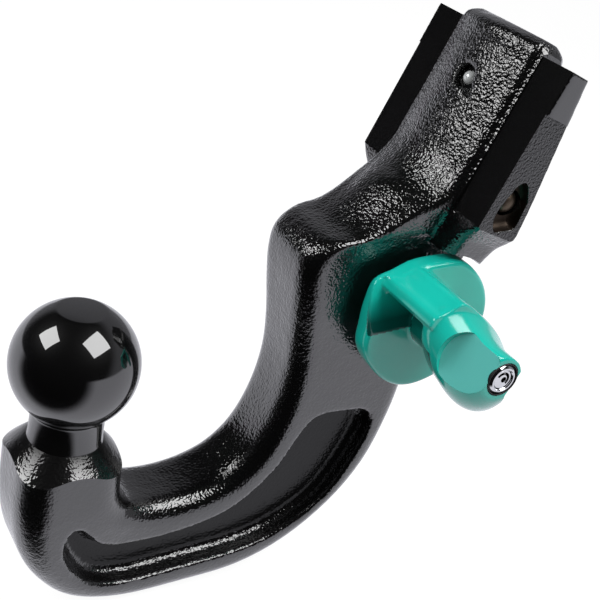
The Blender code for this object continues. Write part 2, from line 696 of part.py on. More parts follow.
def trigger_pieces(steel, spring_steel, chrome):
    """The trigger pin, its guide sleeve and its spring, along the head's rearward direction."""
    origin = head_point(0, TRIGGER_H)
    radius = TRIGGER_RADIUS
    collar_radius = TRIGGER_BORE_RADIUS - GAP
    sleeve_low, sleeve_high = 0.0024, TRIGGER_FLOOR_T - 0.0002
    ring("trigger_sleeve", radius + GAP / 2, collar_radius, sleeve_low, sleeve_high, origin, HEAD_REAR, steel)
    collar_high, collar_low = sleeve_low - GAP, sleeve_low - GAP - 0.0009
    spring_end = TRIGGER_BORE_END_T + TRIGGER_TRAVEL + GAP
    dome = arc((0, TRIGGER_TIP_T - radius), radius, 90, 0, 5)
    dome[0] = (0, TRIGGER_TIP_T)
    profile = dome + [
        (radius, collar_high), (collar_radius - GAP, collar_high), (collar_radius - GAP, collar_low),
        (0.0022, collar_low), (0.0022, spring_end), (0, spring_end),
    ]
    turned("trigger_pin", profile, origin, HEAD_REAR, chrome)
    length = collar_low - GAP - spring_end
    start = origin + HEAD_REAR * spring_end
    coil("trigger_spring", 0.0036, length, 2, start, HEAD_REAR, spring_steel, wire=0.00025)


def wheel_outline():
    """The flange's uneven rim, as (x, z) pairs round the shaft."""
    before = [(angle - 360, radius) for angle, radius in WHEEL_RIM[-2:]]
    after = [(angle + 360, radius) for angle, radius in WHEEL_RIM[:3]]
    rows = catmull_rom(before + list(WHEEL_RIM) + after, 4)
    points = []
    for angle, radius in rows:
        if -180 <= angle < 180:
            turn = math.radians(angle)
            points.append((radius * math.cos(turn), radius * math.sin(turn)))
    return points


def web_outline():
    """The grip's web: a curved wall that runs flush with the rim, then beside the hub."""
    outer = catmull_rom([(0.0268, 0.0150), (0.0253, 0.0184), (0.0214, 0.0200), (0.0173, 0.0221),
                         (0.0133, 0.0238), (0.0080, 0.0215), (0.0030, 0.0180), (-0.0030, 0.0133),
                         (-0.0080, 0.0092), (-0.0120, 0.0045), (-0.0130, -0.0010)], 2)
    inner = catmull_rom([(-0.0090, -0.0020), (-0.0080, 0.0040), (-0.0030, 0.0095),
                         (0.0040, 0.0135), (0.0140, 0.0170), (0.0210, 0.0155), (0.0242, 0.0118)], 2)
    return [tuple(point) for point in outer + inner]


def scoop_frame():
    """The finger scoop's sloping floor: local X runs out along its upper edge, local Y down the
    slope towards the web, and depth along the floor's normal."""
    edge = Vector((math.cos(SCOOP_ANGLE), 0, math.sin(SCOOP_ANGLE)))
    level = Vector((-math.sin(SCOOP_ANGLE), 0, math.cos(SCOOP_ANGLE)))
    down = (level - SIDE * SCOOP_SLOPE).normalized()
    normal = edge.cross(down)
    turn = Matrix((edge, down, normal)).transposed().to_4x4()
    return Matrix.Translation(SHAFT_CENTRE + SIDE * WHEEL_FRONT) @ turn


def grip_rings():
    """Oval sections of the grip from its back to the lock's nose: how far along the shaft, the
    shift and half length along the grip, and the shift and half thickness across it."""
    rows = [
        (GRIP_START, 0, 0.0255, 0.0015, 0.0125),
        (0.0545, 0, 0.0285, 0.0020, 0.0145),
        (0.0600, 0, 0.0295, 0.0026, 0.0150),
        (0.0640, -0.001, 0.0270, 0.0038, 0.0146),
        (0.0680, -0.001, 0.0230, 0.0045, 0.0139),
        (0.0720, -0.001, 0.0185, 0.0042, 0.0130),
        (0.0760, -0.0005, 0.0140, 0.0028, 0.0116),
        (0.0785, 0, 0.0108, 0.0010, 0.0098),
        (LOCK_FACE - GAP, 0, 0.0090, 0, 0.0088),
    ]
    long_way = Vector((math.cos(GRIP_ANGLE), 0, math.sin(GRIP_ANGLE)))
    short_way = Vector((math.sin(GRIP_ANGLE), 0, -math.cos(GRIP_ANGLE)))
    rings = []
    for y, along, half_long, across, half_short in catmull_rom(rows, 2):
        one = []
        for i in range(32):
            angle = math.tau * i / 32
            one.append(SHAFT_CENTRE + SIDE * y + long_way * (along + half_long * math.cos(angle))
                       + short_way * (across + half_short * math.sin(angle)))
        rings.append(one)
    return rings


def facet_frame(side):
    """Local Z points out of a fingertip facet and local X runs across it, level."""
    facing = Vector((side * FACET_FACING[0], FACET_FACING[1], side * FACET_FACING[2])).normalized()
    origin = SHAFT_CENTRE + Vector((side * FACET_CENTRE[0], FACET_CENTRE[1], side * FACET_CENTRE[2]))
    level = UP.cross(facing).normalized()
    turn = Matrix((level, facing.cross(level), facing)).transposed().to_4x4()
    return Matrix.Translation(origin) @ turn


def facet_outline(side, count=40):
    """A leaning oval, in the facet's own directions."""
    lean_u, lean_v = math.cos(FACET_LEAN), math.sin(FACET_LEAN)
    points = []
    for i in range(count):
        angle = math.tau * i / count
        across = FACET_HALF_WIDTH * math.cos(angle)
        along = FACET_HALF_LENGTH * math.sin(angle)
        u = FACET_SHIFT[0] + across * lean_u - along * lean_v
        v = FACET_SHIFT[1] + across * lean_v + along * lean_u
        points.append((side * u, side * v))
    return points


def handwheel(plastic):
    """Flange, hub, web and grip as one moulding, with the lock's bore and the shaft's bore."""
    middle = (WHEEL_BACK + WHEEL_FRONT) / 2
    wheel = outline_solid("handwheel", wheel_outline(), (WHEEL_FRONT - WHEEL_BACK) / 2, WHEEL_ROUND,
                          side_frame(SHAFT_CENTRE, middle), plastic)
    scoop = [(0.002, 0), (0.040, 0), (0.040, 0.0225), (0.014, 0.0225), (0.009, 0.0175),
             (0.002, 0.0145)]
    depth = 0.010
    cut(wheel, outline_solid("finger_scoop", scoop, depth, 0,
                             scoop_frame() @ Matrix.Translation((0, 0, -depth))))
    join(wheel, cylinder("wheel_hub", HUB_RADIUS, WHEEL_FRONT - 0.003, GRIP_START + 0.003,
                         SHAFT_CENTRE, SIDE, None, 32))
    join(wheel, outline_solid("wheel_web", web_outline(), (WEB_HIGH - WEB_LOW) / 2, 0,
                              side_frame(SHAFT_CENTRE, (WEB_HIGH + WEB_LOW) / 2)))
    join(wheel, smooth(loft("wheel_grip", grip_rings())))
    depth = 0.010
    for side in (1, -1):
        frame = facet_frame(side) @ Matrix.Translation((0, 0, depth))
        cut(wheel, outline_solid(f"grip_facet_{side}", facet_outline(side), depth, 0, frame))
    cut(wheel, cylinder("lock_bore_wheel", LOCK_RADIUS + GAP, HOUSING_BACK - 0.0005, 0.090,
                        SHAFT_CENTRE, SIDE))
    cut(wheel, box("bolt_slot", (-0.0125, BOLT_LOW - GAP, -0.0024), (0.0075, BOLT_HIGH + GAP, 0.0024),
                   Matrix.Translation(SHAFT_CENTRE)))
    pocket_end = SHAFT_COLLAR_HIGH + WHEEL_TRAVEL + GAP
    bore = SHAFT_RADIUS + GAP
    profile = [
        (0, HOUSING_BACK + 0.001), (0.0030, HOUSING_BACK + 0.001),
        (0.0030, SHAFT_NEAR_END + WHEEL_TRAVEL + GAP), (bore, SHAFT_NEAR_END + WHEEL_TRAVEL + GAP),
        (bore, pocket_end), (SPRING_POCKET_RADIUS, pocket_end),
        (SPRING_POCKET_RADIUS, WHEEL_BACK - 0.005), (0, WHEEL_BACK - 0.005),
    ]
    cut(wheel, turned("shaft_socket", profile, SHAFT_CENTRE, SIDE))
    reach = DRIVE_PIN_HALF_LENGTH + 0.001
    half = DRIVE_PIN_RADIUS + GAP
    cut(wheel, box("pin_slot", (-reach, WHEEL_BACK + 0.002, -half),
                   (reach, DRIVE_PIN_Y + WHEEL_TRAVEL + half + GAP, half),
                   Matrix.Translation(SHAFT_CENTRE)))
    return wheel


def wheel_pieces(steel, spring_steel, chrome, rubber, shaft):
    """What the handwheel carries: its lock, and the pin and spring on the shaft."""
    across = Vector((1, 0, 0))
    pin_centre = SHAFT_CENTRE + SIDE * DRIVE_PIN_Y
    half = DRIVE_PIN_HALF_LENGTH
    cylinder("drive_pin", DRIVE_PIN_RADIUS, -half, half, pin_centre, across, steel, 16)
    cut(shaft, cylinder("drive_pin_hole", DRIVE_PIN_RADIUS + GAP, -0.02, 0.02, pin_centre, across))
    ring("spring_seat", SHAFT_RADIUS + GAP, SPRING_POCKET_RADIUS - GAP, SPRING_SEAT_LOW,
         SPRING_SEAT_HIGH, SHAFT_CENTRE, SIDE, steel)
    start = SPRING_SEAT_HIGH + GAP
    length = SHAFT_COLLAR_LOW - GAP - start
    spring_radius = (SHAFT_RADIUS + SPRING_POCKET_RADIUS) / 2 - 0.0005
    coil("handwheel_spring", spring_radius, length, 3.5, SHAFT_CENTRE + SIDE * start, SIDE,
         spring_steel, wire=0.0008, per_turn=12)

    ring("lock_seal_ring", HOUSING_RADIUS + GAP, LOCK_RADIUS, LOCK_FACE - 0.0030, LOCK_FACE,
         SHAFT_CENTRE, SIDE, rubber, 32)
    bore = ROTOR_RADIUS + GAP
    face = LOCK_FACE + 0.0003
    profile = [
        (bore, face - 0.0006), (bore + 0.0005, face), (HOUSING_RADIUS - 0.0006, face),
        (HOUSING_RADIUS, face - 0.0006), (HOUSING_RADIUS, LOCK_FACE - 0.0036),
        (LOCK_RADIUS, LOCK_FACE - 0.0036), (LOCK_RADIUS, HOUSING_BACK), (bore, HOUSING_BACK),
    ]
    turned("lock_housing", profile, SHAFT_CENTRE, SIDE, chrome, 32, closed=True)
    rotor_face = LOCK_FACE - 0.0004
    profile = [
        (0, rotor_face), (ROTOR_RADIUS - 0.0003, rotor_face), (ROTOR_RADIUS, rotor_face - 0.0003),
        (ROTOR_RADIUS, HOUSING_BACK), (0.0022, HOUSING_BACK), (0.0022, BOLT_HIGH + 2 * GAP),
        (0, BOLT_HIGH + 2 * GAP),
    ]
    rotor = turned("key_rotor", profile, SHAFT_CENTRE, SIDE, chrome, 24)
    slot = Matrix.Translation(SHAFT_CENTRE) @ Matrix.Rotation(math.radians(38), 4, "Y")
    cut(rotor, box("key_slot", (-0.0030, HOUSING_BACK + 0.004, -0.0009),
                   (0.0030, LOCK_FACE + 0.002, 0.0009), slot))
    box("keyway_shutter", (-0.0026, LOCK_FACE - 0.0024, -0.0006), (0.0026, LOCK_FACE - 0.0016, 0.0006),
        slot, steel)
    box("lock_bolt", (-0.0090, BOLT_LOW, -0.0021), (0.0060, BOLT_HIGH, 0.0021),
        Matrix.Translation(SHAFT_CENTRE), steel)


def build():
    paint = material("black_paint", (0.012, 0.012, 0.013), 0.22, 0.0)
    steel = material("machined_steel", (0.42, 0.42, 0.43), 0.35, 1.0)
    spring_steel = material("spring_steel", (0.30, 0.30, 0.32), 0.40, 1.0)
    bronze = material("sintered_bronze", (0.50, 0.33, 0.16), 0.45, 1.0)
    chrome = material("chrome", (0.80, 0.81, 0.83), 0.12, 1.0)
    rubber = material("black_rubber", (0.015, 0.015, 0.016), 0.60, 0.0)
    plastic = material("teal_plastic", (0.01, 0.50, 0.38), 0.25, 0.0)
    swan_neck(paint)
    shaft = shaft_pieces(steel, bronze, rubber, paint)
    plunger_pieces(steel, spring_steel, paint)
    locking_pieces(steel, chrome)
    trigger_pieces(steel, spring_steel, chrome)
    handwheel(plastic)
    wheel_pieces(steel, spring_steel, chrome, rubber, shaft)


build()
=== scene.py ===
"""The tow ball as it looks: finer pieces and painted materials on the CAD frame."""
import math

import bmesh
import bpy
import numpy as np
from mathutils import Matrix, Vector


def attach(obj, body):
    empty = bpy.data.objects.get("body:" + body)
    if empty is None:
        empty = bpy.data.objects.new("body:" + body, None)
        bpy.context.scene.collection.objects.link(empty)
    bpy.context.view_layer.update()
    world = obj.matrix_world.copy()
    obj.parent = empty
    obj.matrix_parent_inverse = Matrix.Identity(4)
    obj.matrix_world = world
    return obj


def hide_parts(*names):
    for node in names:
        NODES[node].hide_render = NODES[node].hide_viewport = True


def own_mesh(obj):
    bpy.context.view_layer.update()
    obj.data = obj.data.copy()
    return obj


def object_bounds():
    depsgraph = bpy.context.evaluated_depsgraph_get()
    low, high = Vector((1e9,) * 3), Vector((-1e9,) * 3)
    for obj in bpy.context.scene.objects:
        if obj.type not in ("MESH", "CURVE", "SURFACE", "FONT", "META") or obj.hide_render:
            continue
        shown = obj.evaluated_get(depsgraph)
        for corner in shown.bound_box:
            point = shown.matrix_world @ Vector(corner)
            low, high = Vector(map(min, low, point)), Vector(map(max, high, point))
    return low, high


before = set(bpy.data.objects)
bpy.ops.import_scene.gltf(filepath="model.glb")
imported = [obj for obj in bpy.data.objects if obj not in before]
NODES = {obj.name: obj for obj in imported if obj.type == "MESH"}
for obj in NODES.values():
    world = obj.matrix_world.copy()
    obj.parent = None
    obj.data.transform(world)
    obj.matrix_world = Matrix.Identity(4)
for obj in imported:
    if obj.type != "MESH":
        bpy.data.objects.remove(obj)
CAD_BOX = [list(corner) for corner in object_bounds()]

# Clearance between pieces that touch, and between a moving piece and its bore
GAP = 0.0003
# How closely a face's place has to agree with a plane to be painted as part of it
NEAR = 0.0002

# Coupling ball and its turned neck
BALL_RADIUS = 0.025
BALL_FLAT_RADIUS = 0.0095
NECK_RADIUS = 0.0145
SHOULDER_Z = -0.0323
SHOULDER_SLOPE = 1.06
SHOULDER_CUT_REACH = 0.045
SHOULDER_CUT_DROP = 0.020
SHOULDER_CUT_LIFT = 0.004
STUB_TOP_Z = -0.031

# Forged bar
STUB_HALF_WIDTH = 0.021
STUB_CORNER = 0.0125
BAR_HALF_WIDTH = 0.0175
BAR_CORNER = 0.009
WEB_HALF_THICKNESS = 0.009
RECESS_ROUND = 0.004
SHAFT_FACE_HALF_WIDTH = 0.019

# Wedge head, measured across (t, rearwards) and along (h, upwards) its tilted axis
HEAD_TILT = math.radians(19.1)
WING_PLANE = -0.1075
WING_HALF_WIDTH = 0.0433
WING_INSIDE = 0.0262
WING_TOP = 0.1812
WING_BOTTOM = 0.113
WING_TOP_DEPTH = 0.0098
WEDGE_SLOPE = 0.183
WING_ROUND = 0.0015
BODY_HALF_WIDTH = 0.0255
BODY_CORNER = 0.006
CROWN_EDGE = 0.0035
CROWN_RISE = 0.0045
TONGUE_TOP = 0.187
TONGUE_FRONT = 0.014
SIDE_PAD_BOTTOM = 0.163
SIDE_RELIEF = 0.0012
# The block that the head's flat cutters stay within: front, rear, side and top
HEAD_ROOM = (-0.04, 0.03, 0.06, 0.2)

# Cross shaft and handwheel
SHAFT_X = -0.1383
SHAFT_Z = 0.0266
SHAFT_RADIUS = 0.005
SHAFT_NEAR_END = 0.0475
SHAFT_COLLAR_HIGH = 0.0347
CAM_BORE_RADIUS = 0.0103
CAM_BORE_FAR_END = -0.008
FAR_BUSH_RADIUS = 0.008
SPOT_FACE_RADIUS = 0.0290

# Locking balls, their cross bore and the plunger
LOCK_T = -0.011
LOCK_H = 0.1265
LOCKING_BALL_RADIUS = 0.0055
POCKET_FLOOR = 0.0403
# Half lengths of the region round the locking balls that is oiled, along t and h
OILED_REACH = (0.0085, 0.0125)
PLUNGER_RADIUS = 0.0048

# Trigger pin
TRIGGER_H = 0.1607
TRIGGER_TIP_T = 0.0063
TRIGGER_FLOOR_T = 0.0042
TRIGGER_RADIUS = 0.0029
TRIGGER_BORE_RADIUS = 0.0050
TRIGGER_BORE_END_T = -0.0034
TRIGGER_TRAVEL = 0.0020

# Handwheel
WHEEL_BACK = 0.024
WHEEL_FRONT = 0.0335
WHEEL_RIM = (
    (-180, 0.0275), (-130, 0.0292), (-106, 0.0308), (-77, 0.0331), (-45, 0.0326), (-22, 0.0331),
    (-6, 0.0318), (12, 0.0324), (27, 0.0338), (36, 0.0318), (43, 0.0296), (60, 0.0275),
    (82, 0.0258), (105, 0.0264), (132, 0.0259), (158, 0.0266),
)
SCOOP_ANGLE = math.radians(-8)
SCOOP_SLOPE = 0.29
WEB_LOW = 0.0250
WEB_HIGH = 0.0615
WHEEL_ROUND = 0.0022
WHEEL_TRAVEL = 0.0045
HUB_RADIUS = 0.0120
SPRING_POCKET_RADIUS = 0.0088
DRIVE_PIN_Y = 0.0418
DRIVE_PIN_RADIUS = 0.0015
DRIVE_PIN_HALF_LENGTH = 0.0085
GRIP_ANGLE = math.radians(45)
GRIP_START = 0.0520
BOLT_LOW = 0.0530
BOLT_HIGH = 0.0570
LOCK_FACE = 0.0795
LOCK_RADIUS = 0.0070
ROTOR_RADIUS = 0.0042
HOUSING_BACK = 0.0600
FACET_FACING = (0.72, 0.62, 0.30)
FACET_CENTRE = (0.016, 0.068, 0.003)
# The facets' leaning ovals, in the facet's own directions
FACET_SHIFT = (0.0065, -0.0018)
FACET_HALF_WIDTH = 0.0122
FACET_HALF_LENGTH = 0.0150
FACET_DEPTH = 0.0003
FACET_LEAN = math.radians(18)
# The lock ring leaves a thin line of its seal in view
SHOWN_HOUSING = LOCK_RADIUS - 0.0005

# How finely the forging and the moulding are remeshed, and how often they are smoothed
FORGING_VOXEL = 0.0010
FORGING_ROUNDS = 6
MOULDING_VOXEL = 0.00045
MOULDING_ROUNDS = 8

# Paint of the neck's faces
FORGED, MACHINED, FINE_GRAINED, OILED = range(4)
# Plastic of the wheel's faces; the hollow's is a darker copy, painted shade under the web and round
# the hub
GLOSSY, SATIN_PAINTED_SHEEN, SHADED_HOLLOW = range(3)

# Directions towards the dark part of the mirrored room and floor, on the camera's side, and
# how bright both are on the far side
DARK_ROOM = (0.687, 0.446, 0.574)
DARK_FLOOR = (0.839, 0.545, 0.0)
ROOM_WHITE = 0.27
FLOOR_WHITE = 0.95
MIRROR_BLACK = 0.006
MIRROR_TINT = (0.93, 0.93, 1.0)
ROOM_FILL = 0.25
LAMP_DISTANCE = 0.90
LAMP_RADIANCE = 5.6
LAMPS = (("left_softbox", (0.68, -0.20, 0.70), 0.50), ("right_softbox", (-0.35, 0.45, 0.82), 0.60))

# The floor's glow, to the camera and to everything else, and its reach
FLOOR_SHOWN = 0.93
FLOOR_GLOW = 0.15
FLOOR_REACH = 4.0

# The photo's camera
CAMERA_PLACE = (0.1493, 0.3410, 0.2318)
CAMERA_RIGHT = (-0.852, 0.4814, 0.206)
CAMERA_UP = (-0.0614, -0.4825, 0.8738)
CAMERA_BACK = (0.52, 0.7318, 0.4406)
CAMERA_LENS = 68.4
CAMERA_SHIFT = -0.0228

UP = Vector((0, 0, 1))
SIDE = Vector((0, 1, 0))
HEAD_REAR = Vector((math.cos(HEAD_TILT), 0, math.sin(HEAD_TILT)))
HEAD_UP = Vector((-math.sin(HEAD_TILT), 0, math.cos(HEAD_TILT)))


def head_point(t, h, y=0.0):
    """World place of a point given in the head's own directions."""
    return HEAD_REAR * (t + WING_PLANE) + HEAD_UP * h + SIDE * y


SHAFT_CENTRE = Vector((SHAFT_X, 0, SHAFT_Z))
LOCK_CENTRE = head_point(LOCK_T, LOCK_H)
PLUNGER_LINE = (LOCK_CENTRE - SHAFT_CENTRE).normalized()
BORE_RADIUS = PLUNGER_RADIUS + GAP
LOCK_BORE_RADIUS = LOCKING_BALL_RADIUS + GAP
BALL_REST_Y = POCKET_FLOOR - GAP - LOCKING_BALL_RADIUS

SCENE = bpy.context.scene
HELPERS = bpy.data.collections.new("helpers")
SCENE.collection.children.link(HELPERS)


def axis_matrix(origin, axis):
    """Places a piece made along its local Z so that Z runs along the axis."""
    turn = UP.rotation_difference(Vector(axis).normalized())
    return Matrix.Translation(origin) @ turn.to_matrix().to_4x4()


def helper(name, mesh):
    """An object that only helps to make another one."""
    obj = bpy.data.objects.new(name, mesh)
    HELPERS.objects.link(obj)
    obj.hide_render = True
    return obj


def mesh_helper(name, points, faces, matrix=Matrix.Identity(4)):
    """A helper from points and faces, moved by the matrix and with its normals outwards."""
    mesh = bpy.data.meshes.new(name)
    mesh.from_pydata([tuple(matrix @ Vector(point)) for point in points], [], faces)
    work = bmesh.new()
    work.from_mesh(mesh)
    bmesh.ops.remove_doubles(work, verts=work.verts, dist=0.000005)
    bmesh.ops.recalc_face_normals(work, faces=work.faces)
    work.to_mesh(mesh)
    work.free()
    return helper(name, mesh)


def turned(name, profile, origin, axis, steps=64, closed=False):
    """A turned shape from (radius, height) pairs, as a mesh without modifiers."""
    points, rows = [], []
    for radius, height in profile:
        if radius < 1e-9:
            rows.append([len(points)] * steps)
            points.append((0, 0, height))
            continue
        rows.append(list(range(len(points), len(points) + steps)))
        for i in range(steps):
            angle = math.tau * i / steps
            points.append((radius * math.cos(angle), radius * math.sin(angle), height))
    faces = []
    count = len(rows) if closed else len(rows) - 1
    for i in range(count):
        a, b = rows[i], rows[(i + 1) % len(rows)]
        for j in range(steps):
            k = (j + 1) % steps
            face = [a[j], a[k], b[k], b[j]]
            face = [p for n, p in enumerate(face) if p not in face[:n]]
            if len(face) > 2:
                faces.append(face)
    return mesh_helper(name, points, faces, axis_matrix(origin, axis))


def cylinder(name, radius, low, high, origin, axis, steps=64):
    return turned(name, [(0, high), (radius, high), (radius, low), (0, low)], origin, axis, steps)


def box(name, low, high, matrix=Matrix.Identity(4)):
    corners = [(x, y, z) for x in (low[0], high[0]) for y in (low[1], high[1])
               for z in (low[2], high[2])]
    faces = [(0, 1, 3, 2), (4, 6, 7, 5), (0, 4, 5, 1), (2, 3, 7, 6), (0, 2, 6, 4), (1, 5, 7, 3)]
    return mesh_helper(name, corners, faces, matrix)


def baked(obj):
    """The object's mesh with its modifiers and its place worked in; the object goes."""
    bpy.context.view_layer.update()
    graph = bpy.context.evaluated_depsgraph_get()
    mesh = bpy.data.meshes.new_from_object(obj.evaluated_get(graph))
    mesh.transform(obj.matrix_world)
    name = obj.name
    bpy.data.objects.remove(obj)
    return helper(name, mesh)


def combine(obj, others, operation):
    """The object joined with the others, or cut by them; the others go."""
    for other in others:
        change = obj.modifiers.new(operation, "BOOLEAN")
        change.operation = operation
        change.object = other
        change.solver = "MANIFOLD"
    made = baked(obj)
    for other in others:
        bpy.data.objects.remove(other)
    return made


def cut(obj, others):
    return combine(obj, others, "DIFFERENCE")


def softened(obj, voxel, rounds):
    """The shape as it leaves its dies or its mould: a single skin with every edge rounded."""
    remesh = obj.modifiers.new("remesh", "REMESH")
    remesh.mode = "VOXEL"
    remesh.voxel_size = voxel
    soften = obj.modifiers.new("soften", "SMOOTH")
    soften.factor = 0.5
    soften.iterations = rounds
    return baked(obj)


def arc(centre, radius, start, end, count):
    """Points on an arc between two angles in degrees, in count steps."""
    points = []
    for i in range(count + 1):
        angle = math.radians(start + (end - start) * i / count)
        points.append((centre[0] + radius * math.cos(angle), centre[1] + radius * math.sin(angle)))
    return points


def catmull_rom(values, steps):
    """Smooth rows of numbers through the given rows, with steps rows from one to the next."""
    rows = []
    last = len(values) - 1
    for i in range(last):
        a, b = values[max(i - 1, 0)], values[i]
        c, d = values[i + 1], values[min(i + 2, last)]
        for k in range(steps):
            s = k / steps
            row = []
            for p, q, r, u in zip(a, b, c, d):
                bend = (2 * p - 5 * q + 4 * r - u) * s * s + (3 * q - p - 3 * r + u) * s ** 3
                row.append(q + 0.5 * ((r - p) * s + bend))
            rows.append(row)
    rows.append(list(values[last]))
    return rows


def closed_line(points, steps):
    """A smooth closed line through (u, v) points."""
    around = [points[-1]] + list(points) + [points[0], points[1]]
    rows = catmull_rom(around, steps)
    return [tuple(row) for row in rows[steps:-steps - 1]]


def outward(line):
    """The unit normals of a closed line's points, away from its inside."""
    count = len(line)
    area = sum(line[i - 1][0] * line[i][1] - line[i][0] * line[i - 1][1] for i in range(count))
    sign = 1 if area > 0 else -1
    normals = []
    for i in range(count):
        run = (Vector(line[(i + 1) % count]) - Vector(line[i - 1])).normalized()
        normals.append(Vector((run.y, -run.x)) * sign)
    return normals


def slab(name, line, depth, matrix, round_top=0.0, round_floor=0.0, draft=0.0):
    """A flat outline in local X and Y that reaches depth along local -Z, narrower towards its
    end by the draft, with its floor's edge rounded. It stands a little proud of local Z = 0."""
    count = len(line)
    normals = outward(line)
    levels = [(0.004, round_top)]
    if round_top:
        for i in range(5):
            angle = math.radians(90 * i / 4)
            levels.append((-round_top * (1 - math.cos(angle)), round_top * (1 - math.sin(angle))))
    for i in range(6):
        angle = math.radians(90 * i / 5)
        fall = depth - round_floor + round_floor * math.sin(angle)
        inset = round_floor * (1 - math.cos(angle)) + draft * min(fall, depth - round_floor)
        levels.append((-fall, -inset))
    points = []
    for z, grow in levels:
        points += [(*(Vector(p) + n * grow), z) for p, n in zip(line, normals)]
    faces = []
    for i in range(len(levels) - 1):
        for j in range(count):
            k = (j + 1) % count
            faces.append((i * count + j, i * count + k, (i + 1) * count + k, (i + 1) * count + j))
    faces.append(tuple(range(count)))
    faces.append(tuple(reversed(range((len(levels) - 1) * count, len(levels) * count))))
    return mesh_helper(name, points, faces, matrix)


def side_frame(y, sign):
    """Local X is world X, local Y world Z, and local Z points out of that side."""
    turn = Matrix((Vector((1, 0, 0)), UP, SIDE * sign)).transposed().to_4x4()
    return Matrix.Translation(Vector((0, y, 0))) @ turn


def head_side_frame(y, sign):
    """Local X is t, local Y h, and local Z points out of that side of the head."""
    turn = Matrix((HEAD_REAR, HEAD_UP, SIDE * sign)).transposed().to_4x4()
    return Matrix.Translation(head_point(0, 0, y)) @ turn


def head_box_frame():
    """Local X is t, local Y the width and local Z h."""
    return Matrix.Translation(head_point(0, 0)) @ Matrix.Rotation(-HEAD_TILT, 4, "Y")


def section_outline(half_depth, half_width, corner, crown, per_corner=7, across=9):
    """One section of the forging as (depth, width) pairs, with the inner side crowned."""
    corner = min(corner, 0.96 * half_depth, 0.96 * half_width)
    points = []
    for sign_d, sign_w, start in ((1, 1, 0), (-1, 1, 90), (-1, -1, 180), (1, -1, 270)):
        centre_d = sign_d * (half_depth - corner)
        centre_w = sign_w * (half_width - corner)
        for i in range(per_corner + 1):
            angle = math.radians(start + 90 * i / per_corner)
            points.append((centre_d + corner * math.cos(angle),
                           centre_w + corner * math.sin(angle)))
        if sign_d < 0 < sign_w:
            flat = half_width - corner
            for i in range(1, across + 1):
                width = flat * (1 - 2 * i / (across + 1))
                points.append((-half_depth - crown * (1 - (width / flat) ** 2), width))
    return points


def loft(name, rings):
    """A closed skin over rings of equal counts, capped at both ends."""
    count = len(rings[0])
    points = [point for one in rings for point in one]
    faces = []
    for i in range(len(rings) - 1):
        for j in range(count):
            k = (j + 1) % count
            faces.append((i * count + j, (i + 1) * count + j, (i + 1) * count + k, i * count + k))
    faces.append(tuple(range(count)))
    faces.append(tuple(reversed(range((len(rings) - 1) * count, len(rings) * count))))
    return mesh_helper(name, points, faces)


def bar_stations():
    """Rows of outer x, outer z, inner x, inner z, half width, corner and crown, from the stub
    below the ball, round the swan neck, over the shoulder and up the head to its tongue."""
    stub = (STUB_HALF_WIDTH, STUB_CORNER, 0)
    bar = (BAR_HALF_WIDTH, BAR_CORNER, 0)
    leg = (SHAFT_FACE_HALF_WIDTH, BAR_CORNER, 0)
    body = (BODY_HALF_WIDTH, BODY_CORNER, CROWN_RISE)
    rows = [
        (STUB_HALF_WIDTH, STUB_TOP_Z, -STUB_HALF_WIDTH, STUB_TOP_Z, *stub),
        (STUB_HALF_WIDTH, -0.047, -STUB_HALF_WIDTH, -0.044, *stub),
        (0.0205, -0.063, -0.0220, -0.054, *stub),
        (0.0170, -0.0795, -0.0250, -0.060, 0.0203, 0.012, 0),
        (0.0090, -0.0935, -0.0285, -0.0625, 0.0193, 0.0105, 0),
        (-0.0055, -0.1065, -0.0335, -0.0637, 0.0181, 0.0095, 0),
        (-0.0280, -0.1125, -0.0400, -0.0640, *bar),
        (-0.0570, -0.1115, -0.0500, -0.0633, *bar),
        (-0.0840, -0.1082, -0.0605, -0.0607, *bar),
        (-0.1070, -0.0980, -0.0700, -0.0560, *bar),
        (-0.1271, -0.0803, -0.0780, -0.0480, *bar),
        (-0.1404, -0.0593, -0.0835, -0.0372, *bar),
        (-0.1472, -0.0345, -0.0873, -0.0225, *bar),
        (-0.1497, -0.0125, -0.0883, -0.0062, *bar),
        (-0.1510, 0.0080, -0.0864, 0.0100, 0.0178, BAR_CORNER, 0),
        (-0.1520, 0.0260, -0.0838, 0.0255, *leg),
        (-0.1533, 0.0400, -0.0817, 0.0391, *leg),
        (-0.1550, 0.0490, -0.0828, 0.0486, 0.0193, 0.0095, 0.0005),
        (-0.1575, 0.0550, -0.0903, 0.0549, 0.0198, 0.0095, 0.001),
        (-0.1590, 0.0600, -0.1032, 0.0581, 0.0208, 0.009, 0.0015),
    ]
    for h, rear, half_width in ((0.104, 0.0150, 0.0225), (0.112, 0.0085, 0.0250),
                                (0.122, 0.0048, BODY_HALF_WIDTH), (0.135, 0.0040, BODY_HALF_WIDTH)):
        front = head_point(-TONGUE_FRONT - (TONGUE_TOP - h) * WEDGE_SLOPE, h - 0.006)
        back = head_point(rear, h + 0.003)
        rows.append((front.x, front.z, back.x, back.z, half_width, BODY_CORNER, CROWN_RISE))
    for h in (0.150, 0.165, 0.176, 0.1835):
        front = head_point(-TONGUE_FRONT - (TONGUE_TOP - h) * WEDGE_SLOPE, h)
        back = head_point(CROWN_EDGE, h)
        rows.append((front.x, front.z, back.x, back.z, *body))
    front = head_point(-TONGUE_FRONT + 0.0035, TONGUE_TOP)
    back = head_point(CROWN_EDGE - 0.0045, TONGUE_TOP)
    rows.append((front.x, front.z, back.x, back.z, BODY_HALF_WIDTH - 0.003, BODY_CORNER, 0.002))
    return rows


def forged_rings(steps=4):
    """The swan-neck bar and the head's central body, lofted along its stations."""
    rings = []
    for x_out, z_out, x_in, z_in, half_width, corner, crown in catmull_rom(bar_stations(), steps):
        outer, inner = Vector((x_out, 0, z_out)), Vector((x_in, 0, z_in))
        middle = (outer + inner) / 2
        across = (outer - inner).normalized()
        outline = section_outline((outer - inner).length / 2, half_width, corner, crown)
        rings.append([middle + across * depth + SIDE * width for depth, width in outline])
    return rings


